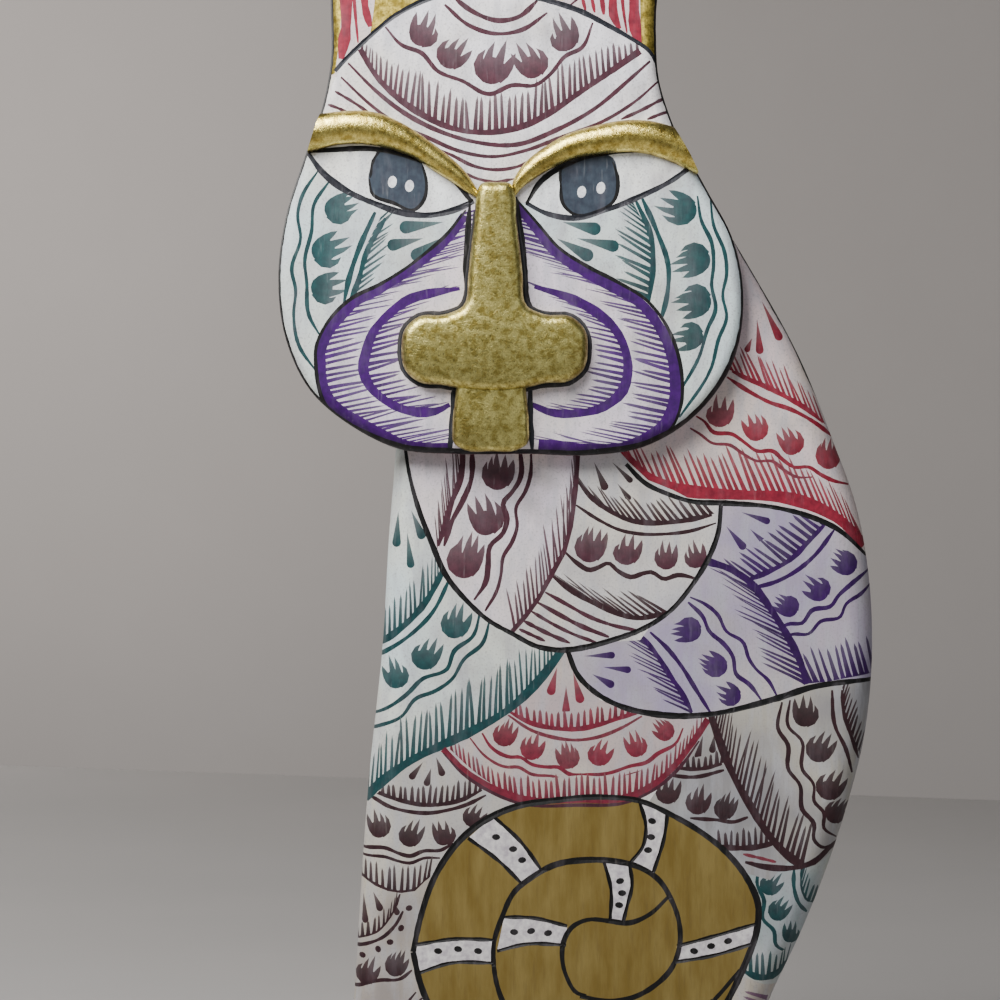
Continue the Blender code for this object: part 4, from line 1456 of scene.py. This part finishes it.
def mapped(tree, value, low, high, first, last):
    node = valueOf(tree, "ShaderNodeMapRange", {"clamp": True}, {
        "Value": value, "From Min": low, "From Max": high, "To Min": first, "To Max": last})
    return node.outputs["Result"]


def arithmetic(tree, kind, *values):
    return valueOf(tree, "ShaderNodeMath", {"operation": kind}, dict(enumerate(values))).outputs[0]


def mixColour(tree, share, first, second, blend="MIX"):
    node = tree.nodes.new("ShaderNodeMix")
    node.data_type, node.blend_type = "RGBA", blend
    for key, value in ((0, share), (6, first), (7, second)):
        if isinstance(value, bpy.types.NodeSocket):
            tree.links.new(value, node.inputs[key])
        else:
            node.inputs[key].default_value = value
    return node.outputs[2]


def layered(tree, colour, layers):  # a layer is a noise, where it starts and is full, its share and its colour
    for value, low, high, share, over in layers:
        colour = mixColour(tree, mapped(tree, value, low, high, 0.0, share), colour, over)
    return colour


def noise(tree, where, scale, detail=4.0, rough=0.55):
    return valueOf(tree, "ShaderNodeTexNoise", {}, {
        "Vector": where, "Scale": scale, "Detail": detail, "Roughness": rough}).outputs["Fac"]


def stretched(tree, where, scale):
    return valueOf(tree, "ShaderNodeMapping", {}, {"Vector": where, "Scale": scale}).outputs["Vector"]


def group(name, inputs, outputs):
    tree = bpy.data.node_groups.new(name, "ShaderNodeTree")
    for socket, kind in inputs:
        tree.interface.new_socket(socket, in_out="INPUT", socket_type=kind)
    for socket, kind in outputs:
        tree.interface.new_socket(socket, in_out="OUTPUT", socket_type=kind)
    return tree, tree.nodes.new("NodeGroupInput"), tree.nodes.new("NodeGroupOutput")


def handPaint():
    # thin water paint on pale carved wood: streaked by the brush, broken by the grain, a little soiled
    tree, given, put = group("HandPaint", [
        ("Ink", "NodeSocketColor"), ("Ground", "NodeSocketColor"), ("Cover", "NodeSocketFloat"),
        ("Gilt", "NodeSocketFloat"), ("Place", "NodeSocketVector"),
    ], [("Colour", "NodeSocketColor"), ("Roughness", "NodeSocketFloat"), ("Metal", "NodeSocketFloat"),
        ("Height", "NodeSocketFloat")])
    ink, ground, cover, gilt, place = given.outputs[:5]
    grain = noise(tree, stretched(tree, place, (1.0, 1.0, 0.12)), 900, 3)
    brushed = noise(tree, stretched(tree, place, (1.0, 1.0, 0.25)), 260, 4)
    soft = noise(tree, place, 28, 3)
    smudge = noise(tree, place, 60, 5, 0.6)
    fine = noise(tree, place, 1500, 2)
    dabs = noise(tree, place, 420, 4, 0.6)
    tint = layered(tree, ground, (
        (soft, 0.4, 0.68, 0.5, (0.72, 0.66, 0.50, 1)), (brushed, 0.44, 0.66, 0.5, (0.42, 0.43, 0.48, 1)),
        (smudge, 0.5, 0.68, 0.42, (0.34, 0.31, 0.30, 1)), (fine, 0.54, 0.68, 0.42, (0.26, 0.25, 0.26, 1))))
    wet = mixColour(tree, mapped(tree, dabs, 0.35, 0.65, 0.0, 0.85), ink, (0.52, 0.48, 0.56, 1), "MULTIPLY")
    wet = layered(tree, wet, ((brushed, 0.5, 0.8, 0.14, (0.34, 0.30, 0.34, 1)),))
    broken = mapped(tree, grain, 0.62, 0.8, 1.0, 0.88)
    share = arithmetic(tree, "MULTIPLY", cover, broken)
    colour = mixColour(tree, share, tint, wet)
    leaf = layered(tree, ground, (
        (brushed, 0.35, 0.7, 0.6, (0.25, 0.19, 0.06, 1)), (grain, 0.55, 0.75, 0.45, (0.12, 0.08, 0.02, 1))))
    free = arithmetic(tree, "SUBTRACT", 1.0, cover)
    bare = arithmetic(tree, "MULTIPLY", gilt, free)
    colour = mixColour(tree, bare, colour, leaf)
    metal = arithmetic(tree, "MULTIPLY", gilt, cover)
    flakes = layered(tree, (0.27, 0.20, 0.035, 1), (
        (dabs, 0.4, 0.62, 1.0, (0.66, 0.52, 0.12, 1)), (fine, 0.5, 0.66, 0.6, (0.14, 0.10, 0.02, 1))))
    colour = mixColour(tree, metal, colour, flakes)
    for socket, value in (
        ("Colour", colour), ("Roughness", mapped(tree, soft, 0.3, 0.7, 0.46, 0.62)), ("Metal", metal),
        ("Height", arithmetic(tree, "MULTIPLY_ADD", cover, 0.35, grain)),
    ):
        tree.links.new(value, put.inputs[socket])
    return tree


def attribute(tree, name):
    node = tree.nodes.new("ShaderNodeAttribute")
    node.attribute_type, node.attribute_name = "GEOMETRY", name
    return node


def newMaterial(name):
    material = bpy.data.materials.new(name)
    material.use_nodes = True
    tree = material.node_tree
    return material, tree, tree.nodes["Principled BSDF"], tree.nodes.new("ShaderNodeTexCoord").outputs["Object"]


def bumped(tree, shader, height, strength, distance):
    bump = valueOf(tree, "ShaderNodeBump", {}, {"Height": height, "Strength": strength, "Distance": distance})
    tree.links.new(bump.outputs["Normal"], shader.inputs["Normal"])


def paintedMaterial(brush):
    material, tree, shader, where = newMaterial("PaintedWood")
    node = tree.nodes.new("ShaderNodeGroup")
    node.node_tree = brush
    for name, socket, output in (
        ("ink", "Ink", "Color"), ("ground", "Ground", "Color"), ("cover", "Cover", "Fac"), ("gilt", "Gilt", "Fac"),
    ):
        tree.links.new(attribute(tree, name).outputs[output], node.inputs[socket])
    tree.links.new(where, node.inputs["Place"])
    for output, socket in (("Colour", "Base Color"), ("Roughness", "Roughness"), ("Metal", "Metallic")):
        tree.links.new(node.outputs[output], shader.inputs[socket])
    bumped(tree, shader, node.outputs["Height"], 0.5, 0.0002)
    shader.inputs["Specular IOR Level"].default_value = 0.3
    return material


def goldMaterial(name, light, dark, speckle, shine):
    material, tree, shader, where = newMaterial(name)
    crumbs = noise(tree, where, 1500, 3, 0.7)
    patches = noise(tree, where, 420, 4, 0.65)
    wide = noise(tree, where, 45, 3)
    colour = layered(tree, dark, (
        (patches, 0.38, 0.62, 1.0, light), (crumbs, 0.48, 0.66, speckle, (0.13, 0.09, 0.015, 1)),
        (wide, 0.5, 0.72, 0.5, (0.16, 0.10, 0.02, 1))))
    tree.links.new(colour, shader.inputs["Base Color"])
    shader.inputs["Metallic"].default_value = 1.0
    tree.links.new(mapped(tree, crumbs, 0.35, 0.7, shine, shine + 0.2), shader.inputs["Roughness"])
    bumped(tree, shader, crumbs, 0.4, 0.0003)
    return material


def plainMaterial(name, colour, worn, scale, roughness):
    material, tree, shader, where = newMaterial(name)
    patches = noise(tree, where, scale, 5, 0.6)
    tree.links.new(layered(tree, colour, ((patches, 0.4, 0.7, 1.0, worn),)), shader.inputs["Base Color"])
    tree.links.new(mapped(tree, patches, 0.3, 0.7, roughness, roughness + 0.12), shader.inputs["Roughness"])
    bumped(tree, shader, patches, 0.1, 0.0003)
    return material


paint = paintedMaterial(handPaint())
gold = goldMaterial("GoldLeaf", (0.76, 0.68, 0.24, 1), (0.36, 0.29, 0.07, 1), 0.7, 0.26)
# The brows' gold is a lighter copy of the gold leaf: a painted highlight on their lit tops
browHighlightGold = goldMaterial("BrowGoldPaintedHighlight", (0.92, 0.76, 0.22, 1), (0.46, 0.34, 0.07, 1), 0.4, 0.2)

# Building the pieces

low, high = (Vector(corner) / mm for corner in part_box("cat_figurine"))


def inside(points):
    gap = 0.04
    return [(min(max(x, low.x + gap), high.x - gap), min(z, high.z - gap)) for x, z in points]


bodyRing = inside(smoothRow(bodyOutline, cat["outlineSteps"]))
faceRing = inside(smoothRow(faceOutline, cat["outlineSteps"], True))
bodyEdge, faceEdge = [], []
for sheet, path, part in ((bodyEdge, bodyRing, "body"), (faceEdge, faceRing + faceRing[:1], "face")):
    near, far = cat[part + "Front"] + cat[part + "Rounding"], cat[part + "Back"] - cat[part + "Rounding"]
    edgeBand(sheet, sum(math.dist(a, b) for a, b in zip(path, path[1:])), near, far)

for name, ring, closed, depths, rounding, sheets in (
    ("paintedBody", bodyRing, False, (cat["bodyFront"], cat["bodyBack"]), cat["bodyRounding"],
     (bodyFront, bodyBack, bodyEdge)),
    ("paintedFace", faceRing, True, (cat["faceFront"], cat["faceBack"]), cat["faceRounding"],
     (faceFront, faceBack, faceEdge)),
):
    piece = paintBoard(name, ring, closed, depths, rounding, sheets)
    piece.data.materials.append(paint)
    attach(piece, "root")
    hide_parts("cat_figurine")

# The brows take the lighter gold, a painted highlight
for name, rows in brows.items():
    pieceFrom(name, browPiece(name, rows), browHighlightGold)
nose = {"raise": 6.0, "behind": 4, "rounding": 3.0, "segments": 6}
pieceFrom("nose", raisedPiece(smoothRow(noseOutline, 5, True), nose), gold)
mouth = {"raise": 4.2, "behind": 4, "rounding": 2.0, "segments": 5}
mouthRing = smoothRow([
    (-20.8, 254.0), (-21.8, 246.0), (-22.7, 237.0), (-22.2, 231.2), (-18.9, 229.2), (-10.7, 228.8), (-2.6, 229.2),
    (0.6, 231.2), (1.1, 237.0), (0.4, 246.0), (-0.4, 254.0)], 4, True)
pieceFrom("mouth", raisedPiece(mouthRing, mouth), gold)

base = {"left": -63.4, "right": 64.2, "half": 29.9, "height": 12.0, "corner": 10.0, "rounding": 2.0}
baseRing = []
for cx, cy, start in (
    (base["right"] - base["corner"], base["half"] - base["corner"], 0),
    (base["left"] + base["corner"], base["half"] - base["corner"], 90),
    (base["left"] + base["corner"], base["corner"] - base["half"], 180),
    (base["right"] - base["corner"], base["corner"] - base["half"], 270),
):
    baseRing += arc(cx, cy, base["corner"], start, start + 90, 9)
bm = bmesh.new()
face = bm.faces.new([bm.verts.new(Vector((x, y, 0)) * mm) for x, y in baseRing])
made = bmesh.ops.extrude_face_region(bm, geom=[face])
topVerts = [v for v in made["geom"] if isinstance(v, bmesh.types.BMVert)]
bmesh.ops.translate(bm, verts=topVerts, vec=Vector((0, 0, base["height"])) * mm)
bmesh.ops.recalc_face_normals(bm, faces=bm.faces[:])
rim = [e for e in bm.edges if all(v in topVerts for v in e.verts)]
bmesh.ops.bevel(bm, geom=rim, offset=base["rounding"] * mm, segments=4, profile=0.5, affect="EDGES", material=-1)
basePaint = plainMaterial("BasePaint", (0.02, 0.019, 0.022, 1), (0.05, 0.045, 0.045, 1), 90, 0.5)
pieceFrom("base", bm, basePaint)

# The table and the wall beyond it

room = {
    "edgeLeft": (-1.905, 2.554), "edgeRight": (1.605, 0.889), "front": -2.5,
    "wallLeft": (-2.379, 3.4985), "wallRight": (2.008, 1.417), "low": -1.2, "high": 3.2,
}
wallPaint = plainMaterial("WallPaint", (0.55, 0.51, 0.485, 1), (0.57, 0.53, 0.505, 1), 5, 0.8)
floorPaint = plainMaterial("FloorPaint", (0.47, 0.45, 0.435, 1), (0.49, 0.465, 0.45, 1), 5, 0.7)
for name, corners, material in (
    ("floor", ((room["edgeLeft"][0], room["front"], 0), (room["edgeRight"][0], room["front"], 0),
               (*room["edgeRight"], 0), (*room["edgeLeft"], 0)), floorPaint),
    ("wall", ((*room["wallLeft"], room["low"]), (*room["wallRight"], room["low"]),
              (*room["wallRight"], room["high"]), (*room["wallLeft"], room["high"])), wallPaint),
):
    mesh = bpy.data.meshes.new(name)
    mesh.from_pydata(corners, [], [(0, 1, 2, 3)])
    plane = bpy.data.objects.new(name, mesh)
    bpy.context.collection.objects.link(plane)
    mesh.materials.append(material)

# Lights and camera


def softbox(name, place, target, size, power, colour):
    light = bpy.data.lights.new(name, "AREA")
    light.shape, light.size, light.size_y = "RECTANGLE", size[0], size[1]
    light.energy, light.color = power, colour
    lamp = bpy.data.objects.new(name, light)
    lamp.location = place
    lamp.rotation_euler = (Vector(target) - Vector(place)).to_track_quat("-Z", "Y").to_euler()
    lamp.visible_camera = False
    bpy.context.collection.objects.link(lamp)


softbox("key", (-0.26, -0.38, 0.68), (-0.06, 0, 0.41), (0.42, 0.34), 9.0, (1.0, 0.99, 0.98))
softbox("fill", (0.7, -1.3, 0.5), (0, 0, 0.2), (1.0, 1.0), 1.9, (0.93, 0.97, 1.0))
softbox("wash", (-1.1, 1.75, 0.62), (-0.35, 2.6, 0.5), (0.62, 0.62), 9.2, (1.0, 0.97, 0.94))
softbox("back", (-1.0, 1.0, 0.75), (-0.15, 0.15, 0.12), (0.6, 0.6), 9.0, (1.0, 0.98, 0.95))
world = bpy.data.worlds.new("Studio")
world.use_nodes = True
world.node_tree.nodes["Background"].inputs["Color"].default_value = (0.75, 0.78, 0.82, 1)
world.node_tree.nodes["Background"].inputs["Strength"].default_value = 0.14
bpy.context.scene.world = world

view = {"x": -7.9, "z": 213.6, "distance": 1224.0, "lens": 137.14}
lens = bpy.data.cameras.new("camera")
lens.lens, lens.sensor_width, lens.sensor_fit = view["lens"], 36, "HORIZONTAL"
camera = bpy.data.objects.new("camera", lens)
camera.location = Vector((view["x"], -view["distance"], view["z"])) * mm
camera.rotation_euler = (math.radians(90), 0, 0)
bpy.context.collection.objects.link(camera)
bpy.context.scene.camera = camera


bpy.context.view_layer.update()
